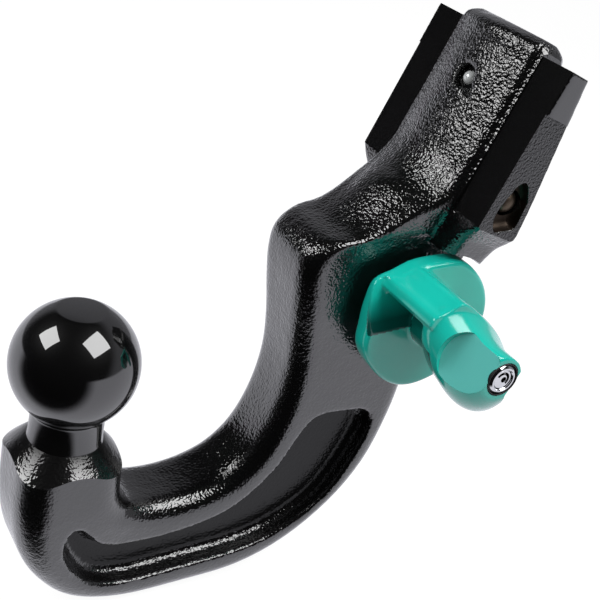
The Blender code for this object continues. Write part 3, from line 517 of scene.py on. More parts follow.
def wing_rings(proud=0.0):
    """The two locking wings as one wedge-shaped block, flaring in to the bar below them. Its
    faces stand proud of their final planes where they are machined later."""
    rows = [
        (0.0775, -0.010, 0.0275, 0.0180, 0.006),
        (0.0870, -0.006, 0.0268, 0.0260, 0.006),
        (0.0950, -0.0035, 0.0258, 0.0312, 0.005),
        (0.1010, -0.0018, 0.0248, 0.0340, 0.005),
        (0.1063, -0.0008, 0.0238, 0.0362, 0.004),
        (0.1095, 0.0000, 0.0229, 0.0388, 0.003),
        (WING_BOTTOM, 0.0005, 0.0222, 0.0418, 0.002),
        (WING_BOTTOM + 0.003, proud,
         WING_TOP_DEPTH + (WING_TOP - WING_BOTTOM - 0.003) * WEDGE_SLOPE,
         WING_HALF_WIDTH, WING_ROUND),
    ]
    for h in (0.130, 0.155, WING_TOP - 0.004, WING_TOP + proud):
        rows.append((h, proud, WING_TOP_DEPTH + (WING_TOP - h) * WEDGE_SLOPE + proud,
                     WING_HALF_WIDTH, WING_ROUND))
    rings = []
    for h, rear, front, half_width, corner in catmull_rom(rows, 3):
        outline = section_outline((front + rear) / 2, half_width, max(corner, 0.001), 0)
        rings.append([head_point((rear - front) / 2 - depth, h, width) for depth, width in outline])
    return rings


def ball_profile():
    """The ball, its neck and the top of the shoulder, just inside the solid ball's corners."""
    radius = BALL_RADIUS - 0.00003
    flat_height = math.sqrt(radius ** 2 - BALL_FLAT_RADIUS ** 2)
    start = math.degrees(math.asin(flat_height / radius))
    end = -math.degrees(math.acos(NECK_RADIUS / radius))
    edge = 0.0004
    profile = [(0, flat_height), (BALL_FLAT_RADIUS - edge, flat_height)]
    profile += arc((0, 0), radius, start - 1, end + 1.5, 44)
    low = radius * math.sin(math.radians(end))
    profile += [(NECK_RADIUS + 0.0001, low - 0.0007), (NECK_RADIUS, low - 0.0016)]
    profile += [(NECK_RADIUS, SHOULDER_Z + 0.0012), (NECK_RADIUS + 0.0004, SHOULDER_Z),
                (NECK_RADIUS + 0.0004, SHOULDER_Z - 0.004), (0, SHOULDER_Z - 0.004)]
    return profile


def recess_outline():
    """The I-beam recess of both sides, in world X and Z: its upper line, then its lower one."""
    return [
        (-0.0030, -0.0665), (-0.0165, -0.0785), (-0.0450, -0.0790), (-0.0720, -0.0715),
        (-0.0900, -0.0545), (-0.0992, -0.0365), (-0.1060, -0.0287), (-0.1200, -0.0275),
        (-0.1312, -0.0295), (-0.1345, -0.0385), (-0.1294, -0.0560), (-0.1186, -0.0756),
        (-0.1010, -0.0885), (-0.0818, -0.0955), (-0.0500, -0.0990), (-0.0270, -0.1005),
        (-0.0120, -0.0965), (-0.0025, -0.0850), (0.0010, -0.0735),
    ]


def leaf_outline():
    """The side pocket's pointed outline, in the head's (t, h)."""
    return [
        (-0.0097, 0.1367), (-0.0122, 0.1361), (-0.0148, 0.1331), (-0.0167, 0.1303),
        (-0.0172, 0.1270), (-0.0176, 0.1237), (-0.0180, 0.1204), (-0.0170, 0.1178),
        (-0.0130, 0.1160), (-0.0093, 0.1144), (-0.0072, 0.1160), (-0.0053, 0.1188),
        (-0.0048, 0.1226), (-0.0052, 0.1255), (-0.0063, 0.1297), (-0.0071, 0.1339),
    ]


def swan_neck_skin():
    """The forging as it leaves the dies, softened, and then machined with crisp edges."""
    wings = loft("wings", wing_rings(0.0006))
    forging = combine(loft("swan_neck_skin", forged_rings()), [wings], "UNION")
    dents = []
    for side in (1, -1):
        matrix = side_frame(side * BAR_HALF_WIDTH, side)
        line = closed_line(recess_outline(), 6)
        depth = BAR_HALF_WIDTH - WEB_HALF_THICKNESS
        dents.append(slab(f"recess_{side}", line, depth, matrix, 0.0012, RECESS_ROUND, 0.12))
    dents.append(trigger_pocket())
    forging = cut(forging, dents)
    forging = softened(forging, FORGING_VOXEL, FORGING_ROUNDS)

    cutters = []
    low = SHOULDER_Z - SHOULDER_SLOPE * SHOULDER_CUT_DROP
    high = SHOULDER_Z + SHOULDER_CUT_LIFT
    cone = [
        (NECK_RADIUS - SHOULDER_SLOPE * SHOULDER_CUT_LIFT, high), (SHOULDER_CUT_REACH, high),
        (SHOULDER_CUT_REACH, low), (NECK_RADIUS + SHOULDER_CUT_DROP * SHOULDER_SLOPE, low),
    ]
    cutters.append(turned("shoulder_cut", cone, (0, 0, 0), UP, 128, closed=True))
    head = head_box_frame()
    front, rear, beside, top = HEAD_ROOM
    for side in (1, -1):
        inner, outer = sorted((side * (BODY_HALF_WIDTH + GAP), side * beside))
        cutters.append(box(f"rear_plane_{side}", (0, inner, WING_BOTTOM + 0.001),
                           (rear, outer, top), head))
        cutters.append(box(f"wing_top_{side}", (front, inner, WING_TOP), (rear, outer, top), head))
        inner, outer = sorted((side * (WING_HALF_WIDTH - SIDE_RELIEF), side * beside))
        cutters.append(box(f"side_relief_{side}", (front, inner, WING_BOTTOM - 0.008),
                           (rear, outer, SIDE_PAD_BOTTOM), head))
        line = closed_line(leaf_outline(), 5)
        matrix = head_side_frame(side * (WING_HALF_WIDTH - SIDE_RELIEF), side)
        cutters.append(slab(f"leaf_{side}", line, 0.0045, matrix, 0.0003, 0.0035, 0.25))
    spot_low = SHAFT_FACE_HALF_WIDTH + GAP
    cutters.append(cylinder("spot_face", SPOT_FACE_RADIUS, spot_low, 0.05, SHAFT_CENTRE, SIDE, 96))
    forging = cut(forging, cutters)

    far = FAR_BUSH_RADIUS + GAP
    tunnel = [
        (0, 0.030), (CAM_BORE_RADIUS, 0.030), (CAM_BORE_RADIUS, CAM_BORE_FAR_END),
        (far, CAM_BORE_FAR_END), (far, -0.030), (0, -0.030),
    ]
    cutters = [turned("shaft_tunnel", tunnel, SHAFT_CENTRE, SIDE)]
    reach = WING_HALF_WIDTH + 0.004
    cutters.append(cylinder("lock_bore", LOCK_BORE_RADIUS, -reach, reach, LOCK_CENTRE, SIDE))
    top = (head_point(0, TONGUE_TOP) - SHAFT_CENTRE).length
    cutters.append(cylinder("plunger_bore", BORE_RADIUS, 0.002, top + 0.010, SHAFT_CENTRE,
                            PLUNGER_LINE))
    forging = cut(forging, cutters)
    origin = head_point(0, TRIGGER_H)
    bore = cylinder("trigger_bore", TRIGGER_BORE_RADIUS, TRIGGER_BORE_END_T, 0.010, origin,
                    HEAD_REAR)
    forging = cut(forging, [bore])
    ball = turned("ball_turning", ball_profile(), (0, 0, 0), UP, 160)
    return combine(forging, [ball], "UNION")


def trigger_pocket():
    """The cast hollow round the trigger pin, which runs out towards the near side below it."""
    line = [
        (0.0074, 0.0002), (0.0066, 0.0034), (0.0040, 0.0058), (0.0000, 0.0066), (-0.0036, 0.0060),
        (-0.0058, 0.0034), (-0.0064, -0.0003), (-0.0054, -0.0036), (-0.0026, -0.0056),
        (0.0025, -0.0072), (0.0080, -0.0094), (0.0120, -0.0100), (0.0122, -0.0076),
        (0.0096, -0.0038),
    ]
    turn = Matrix((SIDE, HEAD_UP, HEAD_REAR)).transposed().to_4x4()
    matrix = Matrix.Translation(head_point(TRIGGER_FLOOR_T + 0.006, TRIGGER_H)) @ turn
    return slab("trigger_pocket", closed_line(line, 5), 0.006, matrix, 0.0, 0.0018, 0.55)


def plate(name, line, low, high, rounding):
    """A flat outline in world X and Z round the shaft, from low to high along Y, with both of
    its edges rounded."""
    normals = outward(line)
    turns = [math.radians(18 * i) for i in range(6)]
    edge = [(rounding * (1 - math.sin(turn)), -rounding * (1 - math.cos(turn))) for turn in turns]
    levels = [(low + fall, grow) for fall, grow in reversed(edge)]
    levels += [(high - fall, grow) for fall, grow in edge]
    rings = []
    for y, grow in levels:
        ring = []
        for point, normal in zip(line, normals):
            u, v = Vector(point) + normal * grow
            ring.append(SHAFT_CENTRE + Vector((u, y, v)))
        rings.append(ring)
    return loft(name, rings)


def wheel_outline():
    """The flange's uneven rim, as (x, z) pairs round the shaft."""
    before = [(angle - 360, radius) for angle, radius in WHEEL_RIM[-2:]]
    after = [(angle + 360, radius) for angle, radius in WHEEL_RIM[:3]]
    points = []
    for angle, radius in catmull_rom(before + list(WHEEL_RIM) + after, 8):
        if -180 <= angle < 180:
            turn = math.radians(angle)
            points.append((radius * math.cos(turn), radius * math.sin(turn)))
    return points


def web_outline():
    """The grip's web: a curved wall that runs flush with the rim, then beside the hub."""
    outer = catmull_rom([(0.0268, 0.0150), (0.0253, 0.0184), (0.0214, 0.0200), (0.0173, 0.0221),
                         (0.0133, 0.0238), (0.0080, 0.0215), (0.0030, 0.0180), (-0.0030, 0.0133),
                         (-0.0080, 0.0092), (-0.0120, 0.0045), (-0.0130, -0.0010)], 5)
    inner = catmull_rom([(-0.0090, -0.0020), (-0.0080, 0.0040), (-0.0030, 0.0095),
                         (0.0040, 0.0135), (0.0140, 0.0170), (0.0210, 0.0155), (0.0242, 0.0118)], 5)
    return [tuple(point) for point in outer + inner]


def grip_rings():
    """Oval sections of the grip from its back to the lock's nose."""
    rows = [
        (GRIP_START, 0, 0.0255, 0.0015, 0.0125),
        (0.0545, 0, 0.0285, 0.0020, 0.0145),
        (0.0600, 0, 0.0295, 0.0026, 0.0150),
        (0.0640, -0.001, 0.0270, 0.0038, 0.0146),
        (0.0680, -0.001, 0.0230, 0.0045, 0.0139),
        (0.0720, -0.001, 0.0185, 0.0042, 0.0130),
        (0.0760, -0.0005, 0.0140, 0.0028, 0.0116),
        (0.0785, 0, 0.0108, 0.0010, 0.0098),
        (LOCK_FACE - GAP, 0, 0.0090, 0, 0.0088),
    ]
    long_way = Vector((math.cos(GRIP_ANGLE), 0, math.sin(GRIP_ANGLE)))
    short_way = Vector((math.sin(GRIP_ANGLE), 0, -math.cos(GRIP_ANGLE)))
    rings = []
    for y, along, half_long, across, half_short in catmull_rom(rows, 4):
        one = []
        for i in range(72):
            angle = math.tau * i / 72
            one.append(SHAFT_CENTRE + SIDE * y + long_way * (along + half_long * math.cos(angle))
                       + short_way * (across + half_short * math.sin(angle)))
        rings.append(one)
    return rings


def scoop_frame():
    """Local X runs out along the scoop's upper edge, local Y down its slope."""
    edge = Vector((math.cos(SCOOP_ANGLE), 0, math.sin(SCOOP_ANGLE)))
    level = Vector((-math.sin(SCOOP_ANGLE), 0, math.cos(SCOOP_ANGLE)))
    down = (level - SIDE * SCOOP_SLOPE).normalized()
    turn = Matrix((edge, down, down.cross(edge))).transposed().to_4x4()
    return Matrix.Translation(SHAFT_CENTRE + SIDE * WHEEL_FRONT) @ turn


def facet_frame(side):
    """Local Z points out of a facet and local X runs across it, level."""
    facing, place = (Vector((side * x, y, side * z)) for x, y, z in (FACET_FACING, FACET_CENTRE))
    facing.normalize()
    level = UP.cross(facing).normalized()
    turn = Matrix((level, facing.cross(level), facing)).transposed().to_4x4()
    return Matrix.Translation(SHAFT_CENTRE + place) @ turn


def facet_cutter(side):
    """The leaning oval hollow for a fingertip, with a drafted edge."""
    facet = facet_frame(side)
    lean_u, lean_v = math.cos(FACET_LEAN), math.sin(FACET_LEAN)
    rings = []
    for level, share in ((0.020, 1.25), (0.0008, 1.0), (0.0002, 0.985), (0.0, 0.96)):
        level -= FACET_DEPTH
        ring = []
        for i in range(96):
            angle = math.tau * i / 96
            across = FACET_HALF_WIDTH * share * math.cos(angle)
            along = FACET_HALF_LENGTH * share * math.sin(angle)
            u = FACET_SHIFT[0] + across * lean_u - along * lean_v
            v = FACET_SHIFT[1] + across * lean_v + along * lean_u
            ring.append(facet @ Vector((side * u, side * v, level)))
        rings.append(ring)
    return loft(f"facet_{side}", rings)


def wheel_skin():
    """The handwheel's moulding with soft edges, and then its crisp bores."""
    wheel = plate("wheel_skin", wheel_outline(), WHEEL_BACK, WHEEL_FRONT, WHEEL_ROUND)
    scoop = [(0.002, 0), (0.040, 0), (0.040, 0.0225), (0.014, 0.0225), (0.009, 0.0175),
             (0.002, 0.0145)]
    flat = loft("scoop", [[scoop_frame() @ Vector((u, v, w)) for u, v in scoop] for w in (0, 0.02)])
    wheel = cut(wheel, [flat])
    pieces = [
        cylinder("hub", HUB_RADIUS, WHEEL_FRONT - 0.003, GRIP_START + 0.003, SHAFT_CENTRE, SIDE),
        plate("web", web_outline(), WEB_LOW, WEB_HIGH, 0.0003),
        loft("grip", grip_rings()),
    ]
    wheel = combine(wheel, pieces, "UNION")
    wheel = softened(wheel, MOULDING_VOXEL, MOULDING_ROUNDS)

    wheel = cut(wheel, [facet_cutter(1)])
    wheel = cut(wheel, [facet_cutter(-1)])
    pocket_end = SHAFT_COLLAR_HIGH + WHEEL_TRAVEL + GAP
    shaft_end = SHAFT_NEAR_END + WHEEL_TRAVEL + GAP
    bore = SHAFT_RADIUS + GAP
    socket = [
        (0, HOUSING_BACK + 0.001), (0.0030, HOUSING_BACK + 0.001), (0.0030, shaft_end),
        (bore, shaft_end), (bore, pocket_end), (SPRING_POCKET_RADIUS, pocket_end),
        (SPRING_POCKET_RADIUS, WHEEL_BACK - 0.005), (0, WHEEL_BACK - 0.005),
    ]
    reach = DRIVE_PIN_HALF_LENGTH + 0.001
    half = DRIVE_PIN_RADIUS + GAP
    centre = Matrix.Translation(SHAFT_CENTRE)
    lock_bore = cylinder("lock_bore_wheel", LOCK_RADIUS + GAP, HOUSING_BACK - 0.0005, 0.09,
                         SHAFT_CENTRE, SIDE, 128)
    wheel = cut(wheel, [lock_bore])
    bolt_slot = box("bolt_slot", (-0.0125, BOLT_LOW - GAP, -0.0024),
                    (0.0075, BOLT_HIGH + GAP, 0.0024), centre)
    wheel = cut(wheel, [bolt_slot])
    wheel = cut(wheel, [turned("shaft_socket", socket, SHAFT_CENTRE, SIDE)])
    pin_slot = box("pin_slot", (-reach, WHEEL_BACK + 0.002, -half),
                   (reach, DRIVE_PIN_Y + WHEEL_TRAVEL + half + GAP, half), centre)
    return cut(wheel, [pin_slot])


def key_rotor_skin():
    """The rotor with its curved keyway and the small round hole beside it."""
    face = LOCK_FACE - 0.0004
    edge = 0.0004
    profile = [
        (0, face), (ROTOR_RADIUS - edge, face), (ROTOR_RADIUS, face - edge),
        (ROTOR_RADIUS, HOUSING_BACK), (0.0022, HOUSING_BACK), (0.0022, BOLT_HIGH + 2 * GAP),
        (0, BOLT_HIGH + 2 * GAP),
    ]
    rotor = turned("key_rotor_skin", profile, SHAFT_CENTRE, SIDE, 96)
    line = arc((0, 0), 0.0032, 25, 225, 12) + arc((0, 0), 0.0020, 225, 25, 12)
    keyway = loft("keyway", [[SHAFT_CENTRE + Vector((u, y, v)) for u, v in line]
                             for y in (LOCK_FACE - 0.006, LOCK_FACE + 0.002)])
    rotor = cut(rotor, [keyway])
    hole = cylinder("key_hole", 0.00125, LOCK_FACE - 0.0060, LOCK_FACE + 0.002,
                    SHAFT_CENTRE + Vector((-0.0006, 0, -0.0002)), SIDE, 40)
    return cut(rotor, [hole])


def lock_housing_skin():
    """The lock's bright ring, with a bevelled face."""
    bore = ROTOR_RADIUS + 0.0001
    face = LOCK_FACE + 0.0003
    profile = [
        (bore, face - 0.0004), (bore + 0.0003, face), (bore + 0.0009, face),
        (SHOWN_HOUSING - 0.0002, face - 0.0009), (SHOWN_HOUSING, face - 0.0012),
        (SHOWN_HOUSING, LOCK_FACE - 0.0036), (LOCK_RADIUS, LOCK_FACE - 0.0036),
        (LOCK_RADIUS, HOUSING_BACK), (bore, HOUSING_BACK),
    ]
    return turned("lock_housing_skin", profile, SHAFT_CENTRE, SIDE, 128, closed=True)


def seal_ring_skin():
    """The rubber line round the lock's ring."""
    inner = SHOWN_HOUSING + 0.0001
    profile = [
        (inner, LOCK_FACE - 0.0003), (inner + 0.0003, LOCK_FACE),
        (LOCK_RADIUS - 0.0003, LOCK_FACE), (LOCK_RADIUS, LOCK_FACE - 0.0004),
        (LOCK_RADIUS, LOCK_FACE - 0.0030), (inner, LOCK_FACE - 0.0030),
    ]
    return turned("seal_ring_skin", profile, SHAFT_CENTRE, SIDE, 128, closed=True)


def trigger_pin_skin():
    """The trigger's domed pin with its collar and its spring's spigot."""
    origin = head_point(0, TRIGGER_H)
    radius = TRIGGER_RADIUS
    collar = TRIGGER_BORE_RADIUS - 2 * GAP
    high, low = 0.0024 - GAP, 0.0024 - GAP - 0.0009
    end = TRIGGER_BORE_END_T + TRIGGER_TRAVEL + GAP
    dome = arc((0, TRIGGER_TIP_T - radius), radius, 90, 0, 16)
    dome[0] = (0, TRIGGER_TIP_T)
    profile = dome + [(radius, high), (collar, high), (collar, low), (0.0022, low), (0.0022, end),
                      (0, end)]
    return turned("trigger_pin_skin", profile, origin, HEAD_REAR, 64)


def locking_ball_skin(side, word):
    axis = SIDE * side
    ball = arc((0, 0), LOCKING_BALL_RADIUS, 90, -90, 32)
    ball[0], ball[-1] = (0, LOCKING_BALL_RADIUS), (0, -LOCKING_BALL_RADIUS)
    return turned(f"locking_ball_{word}_skin", ball, LOCK_CENTRE + axis * BALL_REST_Y, axis, 64)


def plunger_spring_skin():
    """A copy of the plunger's spring, with its place worked into its mesh."""
    node = NODES["plunger_spring"]
    spring = helper("plunger_spring_skin", node.data.copy())
    spring.data.transform(node.matrix_world)
    return spring


def rows_of(items, name):
    """A vector of each of a mesh's vertices or faces, as the rows of an array."""
    values = np.empty(len(items) * 3, np.float32)
    items.foreach_get(name, values)
    return values.reshape(-1, 3)


def in_head(places):
    """The places' t and h, in the head's own directions."""
    along = places - np.array(head_point(0, 0), np.float32)
    return along @ np.array(HEAD_REAR, np.float32), along @ np.array(HEAD_UP, np.float32)


def grain_values(mesh):
    """How strongly the forging's grain shows at each point, and how thick the lacquer is."""
    points = rows_of(mesh.vertices, "co")
    normals = rows_of(mesh.vertices, "normal")
    x, y, z = points.T
    h = in_head(points)[1]
    side, up = np.abs(normals[:, 1]), normals[:, 2]
    value = np.full(len(points), 0.55, np.float32)
    value[side > 0.85] = 0.40
    value[(up > 0.5) & (z < -0.02) & (side < 0.5)] = 0.45
    value[(up > 0.35) & (z > -0.03) & (x < -0.03) & (side < 0.6)] = 0.80
    value[(h > 0.098) & (side < 0.8)] = 0.85
    value[(h > 0.070) & (h <= 0.098) & (side < 0.8)] = 0.8
    value[(x > -0.027) & (z > -0.075)] = 0.28
    web = (side > 0.9) & (np.abs(y) < WEB_HALF_THICKNESS + 0.0012) & (z < 0)
    value[web] = 0.25
    out_of_cone = np.hypot(x, y) - NECK_RADIUS - (SHOULDER_Z - z) * SHOULDER_SLOPE
    cone = (np.abs(out_of_cone) < 0.0004) & (np.abs(z - SHOULDER_Z + 0.010) < 0.0105)
    top = (np.abs(y) > WING_INSIDE) & (h > WING_TOP - GAP)
    coat = np.where(web | top, 0.22, np.where(cone, 0.12, 1.0))
    return value, coat.astype(np.float32)


def region_indices(mesh):
    """The paint of each face. A face's centre alone can mislead on a large face with many
    points, so most rules also ask for its direction."""
    centres = rows_of(mesh.polygons, "center")
    normals = rows_of(mesh.polygons, "normal")
    x, y, z = centres.T
    t, h = in_head(centres)
    rear = normals @ np.array(HEAD_REAR, np.float32)
    width, sideways = np.abs(y), np.abs(normals[:, 1]) > 0.9
    relief = WING_HALF_WIDTH - SIDE_RELIEF
    kind = np.full(len(centres), FORGED, np.int32)
    kind[(np.hypot(x, y) < 0.0265) & (z > SHOULDER_Z - NEAR)] = MACHINED
    wing_plane = (width > WING_INSIDE) & (np.abs(t) < 2 * NEAR) & (rear > 0.95)
    kind[wing_plane & (h > WING_BOTTOM)] = MACHINED
    kind[(width > WING_HALF_WIDTH - NEAR) & (h > SIDE_PAD_BOTTOM) & sideways] = MACHINED
    kind[sideways & (np.abs(width - relief) < NEAR) & (h > WING_BOTTOM - 0.008)] = FINE_GRAINED
    in_leaf = (np.abs(t - LOCK_T) < OILED_REACH[0]) & (np.abs(h - LOCK_H) < OILED_REACH[1])
    in_leaf &= (rear > -0.85) | (t > LOCK_T - 0.006)
    kind[in_leaf & (width < relief - NEAR) & (width > 0.028)] = OILED
    return kind


def wheel_indices(mesh):
    """The plastic of each face: glossy, satin with a painted sheen on the finger faces, and a
    darker copy as painted shade in the hollow under the web and round the hub.
    """
    centres = rows_of(mesh.polygons, "center")
    normals = rows_of(mesh.polygons, "normal")
    kind = np.full(len(centres), GLOSSY, np.int32)
    across = np.hypot(centres[:, 0] - SHAFT_CENTRE.x, centres[:, 2] - SHAFT_CENTRE.z)
    under = normals @ np.array((0.5, 0.0, -0.86), np.float32) > 0.35
    between = (centres[:, 1] > WHEEL_FRONT + 0.0006) & (centres[:, 1] < WEB_HIGH)
    # painted shade: the faces under the web and round the hub get the darker plastic
    kind[between & (under | (across < HUB_RADIUS + 0.0008)) & (across < 0.0235)] = SHADED_HOLLOW
    for side in (1, -1):
        facet = facet_frame(side)
        normal = np.array(facet.to_3x3().col[2], np.float32)
        away = (centres - np.array(facet.translation, np.float32)) @ normal
        kind[(np.abs(away + FACET_DEPTH) < 0.0001) & (normals @ normal > 0.98)] = SATIN_PAINTED_SHEEN
    return kind


def shade_values(mesh):
    """How deep in the web's shadow each point of the finger scoop lies, from 0 to 1."""
    back = np.array(scoop_frame().inverted(), np.float32)
    u, v, w = (rows_of(mesh.vertices, "co") @ back[:3, :3].T + back[:3, 3]).T
    inside = (np.abs(w) < 0.0012) & (u > 0.001) & (v > -0.001)
    value = np.where(inside, np.clip(1.0 - (v - 0.003) / 0.012, 0.0, 0.9), 0.0)
    return value.astype(np.float32)


class Tree:
    """Makes nodes in a node tree. Their inputs are given by name, as values or as sockets."""

    def __init__(self, owner):
        owner.use_nodes = True
        self.graph = owner.node_tree

    def give(self, socket, value):
        """Links a socket's value to an input, or sets the input to a plain value."""
        if isinstance(value, bpy.types.NodeSocket):
            self.graph.links.new(value, socket)
        else:
            socket.default_value = value

    def node(self, kind, links=None, **settings):
        made = self.graph.nodes.new("ShaderNode" + kind)
        for key, value in settings.items():
            setattr(made, key, value)
        for key, value in (links or {}).items():
            self.give(made.inputs[key], value)
        return made

    def ramp(self, value, low, high, first, last, kind="LINEAR"):
        """The value between low and high, spread from first to last."""
        made = self.node("MapRange", {"Value": value, "From Min": low, "From Max": high,
                                      "To Min": first, "To Max": last},
                         clamp=True, interpolation_type=kind)
        return made.outputs["Result"]

    def math(self, operation, first, second):
        made = self.node("Math", {0: first, 1: second}, operation=operation)
        return made.outputs[0]

    def blend(self, factor, first, second):
        made = self.node("Mix", {"Factor": factor, 2: first, 3: second})
        return made.outputs[0]

    def mix(self, factor, first, second):
        ends = {key: value if isinstance(value, bpy.types.NodeSocket) else (*value, 1)
                for key, value in ((6, first), (7, second))}
        return self.node("Mix", {"Factor": factor, **ends}, data_type="RGBA").outputs[2]


class Shader(Tree):
    """A procedural material: a colour that varies a little, grain from noise, and wear."""

    def __init__(self, name):
        self.made = bpy.data.materials.new(name)
        super().__init__(self.made)
        self.out = self.graph.nodes["Principled BSDF"]
        self.where = self.node("TexCoord").outputs["Object"]

    def noise(self, scale, detail=2.0, roughness=0.5):
        made = self.node("TexNoise", {"Vector": self.where, "Scale": scale, "Detail": detail,
                                      "Roughness": roughness})
        return made.outputs["Fac"]

    def bump(self, height, distance, strength=1.0, normal=None):
        links = {"Height": height, "Distance": distance, "Strength": strength}
        if normal is not None:
            links["Normal"] = normal
        return self.node("Bump", links).outputs["Normal"]

    def attribute(self, name):
        return self.node("Attribute", attribute_name=name).outputs["Fac"]

    def set(self, **values):
        for key, value in values.items():
            self.give(self.out.inputs[key.replace("_", " ")], value)


def black_paint(name, forged=False, fine=False):
    """High-gloss black lacquer. The forged skin below it shows as grain in its gloss."""
    shader = Shader(name)
    coat = 0.55 if fine else 1.0
    cloud = shader.noise(18, 3)
    colour = shader.mix(shader.ramp(cloud, 0.35, 0.65, 0, 1), (0.0016, 0.0016, 0.0018),
                        (0.0026, 0.0025, 0.0025))
    peel = shader.noise(330, 1.5)
    normal = shader.bump(peel, 0.00010, 0.10 if forged else 0.05)
    if forged:
        amount = shader.attribute("grain")
        coat = shader.attribute("lacquer")
        patch = shader.noise(170, 2)
        normal = shader.bump(patch, 0.0018, shader.math("MULTIPLY", amount, 0.30), normal)
        coarse = shader.noise(880, 1)
        normal = shader.bump(coarse, 0.00058, shader.math("MULTIPLY", amount, 0.95), normal)
    if fine:
        normal = shader.bump(shader.noise(1000, 1), 0.00060, 1.0, normal)
    wear = shader.ramp(shader.noise(60, 4), 0.50, 0.80, 0.0, 0.06)
    shader.set(Base_Color=colour, Roughness=shader.math("ADD", wear, 0.40), Specular_IOR_Level=0.10,
               Coat_Weight=coat, Coat_IOR=1.95, Coat_Roughness=shader.math("ADD", wear, 0.015),
               Normal=normal, Coat_Normal=normal)
    return shader.made


def metal(name, colour, roughness, grain, spread=0.06, darker=0.8, metallic=1.0):
    """Bare or plated metal with fine turning grain and faint handling marks."""
    shader = Shader(name)
    cloud = shader.ramp(shader.noise(90, 3), 0.3, 0.7, 0, 1)
    dull = tuple(part * darker for part in colour)
    normal = shader.bump(shader.noise(1800, 2), 0.00004, grain)
    rough = shader.ramp(shader.noise(260, 3), 0.3, 0.7, roughness, roughness + spread)
    shader.set(Base_Color=shader.mix(cloud, colour, dull), Metallic=metallic, Roughness=rough,
               Normal=normal)
    return shader.made


def teal_plastic(name, share=1.0):
    """Glossy moulded plastic with a faint flow cloud and a slightly uneven surface, with the web's
    shadow on the finger scoop painted into its colour.
    """
    shader = Shader(name)
    cloud = shader.ramp(shader.noise(45, 3), 0.35, 0.65, 0, 1)
    # a share below one makes the darker copy that is painted shade in the hollow
    colour = shader.mix(cloud, (0.008 * share, 0.560 * share, 0.450 * share),
                        (0.010 * share, 0.610 * share, 0.490 * share))
    # painted shadow: the scoop darkens towards the web by the shade value
    colour = shader.mix(shader.attribute("shade"), colour, (0.001, 0.035, 0.031))
    normal = shader.bump(shader.noise(180, 1.5), 0.00015, 0.05)
    rough = shader.ramp(shader.noise(120, 4), 0.35, 0.75, 0.16, 0.26)
    shader.set(Base_Color=colour, Roughness=rough, Specular_IOR_Level=0.6, Normal=normal,
               Coat_Weight=0.5, Coat_Roughness=0.08)
    return shader.made


def teal_satin_painted_sheen(name):
    """The same plastic on the finger faces, with a finer texture and a paler colour that is a
    painted sheen of reflected light.
    """
    shader = Shader(name)
    cloud = shader.ramp(shader.noise(60, 3), 0.3, 0.7, 0, 1)
    # painted sheen: the paler, greyer colour stands in for light reflected off the finger faces
    colour = shader.mix(cloud, (0.120, 0.590, 0.530), (0.135, 0.630, 0.570))
    normal = shader.bump(shader.noise(1400, 2), 0.00006, 0.25)
    rough = shader.ramp(shader.noise(150, 3), 0.3, 0.7, 0.28, 0.38)
    shader.set(Base_Color=colour, Roughness=rough, Specular_IOR_Level=0.6, Normal=normal,
               Coat_Weight=0.3, Coat_Roughness=0.12)
    return shader.made


def rubber(name):
    shader = Shader(name)
    cloud = shader.ramp(shader.noise(200, 2), 0.3, 0.7, 0, 1)
    normal = shader.bump(shader.noise(1500, 2), 0.00005, 0.3)
    rough = shader.ramp(shader.noise(400, 2), 0.3, 0.7, 0.45, 0.6)
    shader.set(Base_Color=shader.mix(cloud, (0.012, 0.012, 0.013), (0.020, 0.020, 0.021)),
               Roughness=rough, Normal=normal)
    return shader.made


def show(obj, body, nodes, materials):
    """Puts a finished piece in the scene in place of its CAD nodes."""
    HELPERS.objects.unlink(obj)
    SCENE.collection.objects.link(obj)
    obj.hide_render = False
    obj.data.materials.clear()
    for one in materials:
        obj.data.materials.append(one)
    obj.data.shade_smooth()
    obj.data.set_sharp_from_angle(angle=math.radians(32))
    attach(obj, body)
    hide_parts(*nodes)
    return obj


def give_values(mesh, name, values):
    """A number at each point, which the material reads."""
    mesh.attributes.new(name, "FLOAT", "POINT").data.foreach_set("value", values)


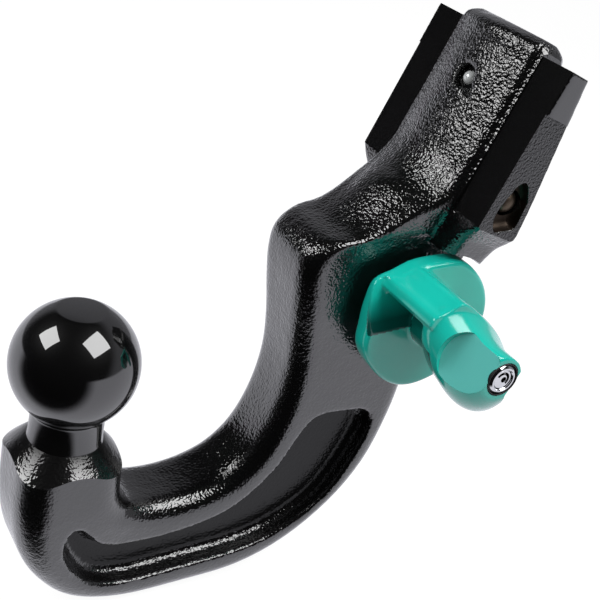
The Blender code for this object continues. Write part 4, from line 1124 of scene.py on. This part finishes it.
def dress():
    """Every piece with its procedural material."""
    forged = black_paint("forged_paint", forged=True)
    gloss = black_paint("gloss_paint")
    fine = black_paint("fine_paint", fine=True)
    teal = teal_plastic("teal_plastic_skin")
    chrome = metal("bright_chrome", (0.80, 0.81, 0.83), 0.06, 0.1)
    # a pale, mostly diffuse finish (metallic 0.3) paints the trigger pin's bright reflections into
    # its colour
    plated = metal("plated_steel_painted_sheen", (0.92, 0.95, 0.95), 0.25, 0.3, metallic=0.3)
    burnished = metal("oiled_ball_steel", (0.13, 0.10, 0.075), 0.38, 0.2)
    oiled = metal("oiled_pocket", (0.050, 0.038, 0.030), 0.45, 0.3)
    steel = metal("ground_steel", (0.42, 0.42, 0.43), 0.30, 0.4)
    wire = metal("drawn_wire", (0.30, 0.30, 0.32), 0.35, 0.4)
    bronze = metal("bearing_bronze_skin", (0.50, 0.33, 0.16), 0.42, 0.5)
    seal = rubber("seal_rubber")
    neck = swan_neck_skin()
    kinds = region_indices(neck.data)
    show(neck, "bar", ["swan_neck"], [forged, gloss, fine, oiled])
    neck.data.polygons.foreach_set("material_index", kinds)
    for face in neck.data.polygons:
        # a large machined face with many points stays flat, or its reflection breaks up
        if len(face.vertices) > 12 and face.area > 15e-6:
            face.use_smooth = False
    coarse, coat = grain_values(neck.data)
    give_values(neck.data, "grain", coarse)
    give_values(neck.data, "lacquer", coat)
    wheel = wheel_skin()
    kinds = wheel_indices(wheel.data)
    # the satin plastic has a painted sheen, and the darkest copy is painted shade in the hollow
    show(wheel, "wheel", ["handwheel"],
         [teal, teal_satin_painted_sheen("teal_painted_sheen_skin"), teal_plastic("teal_painted_shade_skin", 0.22)])
    wheel.data.polygons.foreach_set("material_index", kinds)
    # painted shadow of the web on the finger scoop
    give_values(wheel.data, "shade", shade_values(wheel.data))
    show(key_rotor_skin(), "rotor", ["key_rotor"], [chrome])
    show(lock_housing_skin(), "wheel", ["lock_housing"], [chrome])
    show(seal_ring_skin(), "wheel", ["lock_seal_ring"], [seal])
    show(trigger_pin_skin(), "trigger", ["trigger_pin"], [plated])
    for side, word in ((1, "near"), (-1, "far")):
        show(locking_ball_skin(side, word), f"{word}_lock", [f"locking_ball_{word}"],
             [burnished])
    spring = show(plunger_spring_skin(), "bar", ["plunger_spring"], [wire])
    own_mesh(spring)
    carried = {
        "shaft_end_cap": gloss, "plunger_plug": gloss, "shaft_bush_near": bronze,
        "shaft_bush_far": bronze, "shaft_seal": seal, "trigger_spring": wire,
        "handwheel_spring": wire, "trigger_sleeve": gloss,
    }
    for name, node in NODES.items():
        node.data.materials.clear()
        node.data.materials.append(carried.get(name, steel))


def studio():
    """What the gloss mirrors is dark on the camera's side and pale behind the object, by
    direction only. The camera sees white, and two softboxes light the object from above."""
    world = bpy.data.worlds.new("world")
    SCENE.world = world
    tree = Tree(world)
    way = tree.node("TexCoord").outputs["Generated"]

    def part(dark_side, first, last, white):
        toward = tree.node("VectorMath", {0: way, 1: dark_side}, operation="DOT_PRODUCT")
        return tree.ramp(toward.outputs["Value"], first, last, white, MIRROR_BLACK, "SMOOTHSTEP")

    height = tree.node("SeparateXYZ", {"Vector": way}).outputs["Z"]
    above = tree.ramp(height, -0.04, 0.04, 0, 1, "SMOOTHSTEP")
    room = tree.blend(above, part(DARK_FLOOR, 0.25, 0.60, FLOOR_WHITE),
                      part(DARK_ROOM, -0.25, 0.12, ROOM_WHITE))
    rays = tree.node("LightPath").outputs
    mirror = tree.math("MAXIMUM", rays["Is Glossy Ray"], rays["Is Transmission Ray"])
    seen = tree.blend(mirror, ROOM_FILL, room)
    background = tree.graph.nodes["Background"].inputs
    tree.give(background["Strength"], tree.blend(rays["Is Camera Ray"], seen, 1.0))
    tree.give(background["Color"], tree.mix(mirror, (1, 1, 1), MIRROR_TINT))
    for name, toward_lamp, size in LAMPS:
        data = bpy.data.lights.new(name, "AREA")
        data.shape = "RECTANGLE"
        data.size = size
        data.size_y = size * 0.85
        data.energy = LAMP_RADIANCE * math.pi * data.size * data.size_y
        lamp = bpy.data.objects.new(name, data)
        SCENE.collection.objects.link(lamp)
        direction = Vector(toward_lamp).normalized()
        turn = direction.to_track_quat("Z", "Y").to_matrix().to_4x4()
        lamp.matrix_world = Matrix.Translation(direction * LAMP_DISTANCE) @ turn


def floor_material():
    """A pale floor that shows white and keeps the object's shadow."""
    made = bpy.data.materials.new("floor")
    tree = Tree(made)
    nodes = tree.graph.nodes
    nodes.remove(nodes["Principled BSDF"])
    rays = tree.node("LightPath").outputs
    strength = tree.blend(rays["Is Camera Ray"], FLOOR_GLOW, FLOOR_SHOWN)
    glow = tree.node("Emission", {"Strength": strength})
    matt = tree.node("BsdfDiffuse", {"Color": (0.2, 0.2, 0.2, 1)})
    both = tree.node("AddShader", {0: glow.outputs[0], 1: matt.outputs[0]})
    tree.give(nodes["Material Output"].inputs["Surface"], both.outputs[0])
    return made


def floor():
    """A floor just below the part, which shows in no reflection."""
    low, high, level = -FLOOR_REACH, FLOOR_REACH, CAD_BOX[0][2] - GAP
    mesh = bpy.data.meshes.new("floor")
    corners = [(x, y, level) for x, y in ((low, low), (high, low), (high, high), (low, high))]
    mesh.from_pydata(corners, [], [(0, 1, 2, 3)])
    mesh.materials.append(floor_material())
    obj = bpy.data.objects.new("floor", mesh)
    obj.visible_glossy = False
    SCENE.collection.objects.link(obj)


def camera():
    data = bpy.data.cameras.new("camera")
    obj = bpy.data.objects.new("camera", data)
    SCENE.collection.objects.link(obj)
    turn = Matrix((CAMERA_RIGHT, CAMERA_UP, CAMERA_BACK)).transposed().to_4x4()
    turn.translation = CAMERA_PLACE
    obj.matrix_world = turn
    data.lens = CAMERA_LENS
    data.sensor_width = 36
    data.shift_y = CAMERA_SHIFT
    data.clip_start = 0.01
    SCENE.camera = obj


dress()
floor()
camera()
studio()
SCENE.view_settings.view_transform = "Standard"
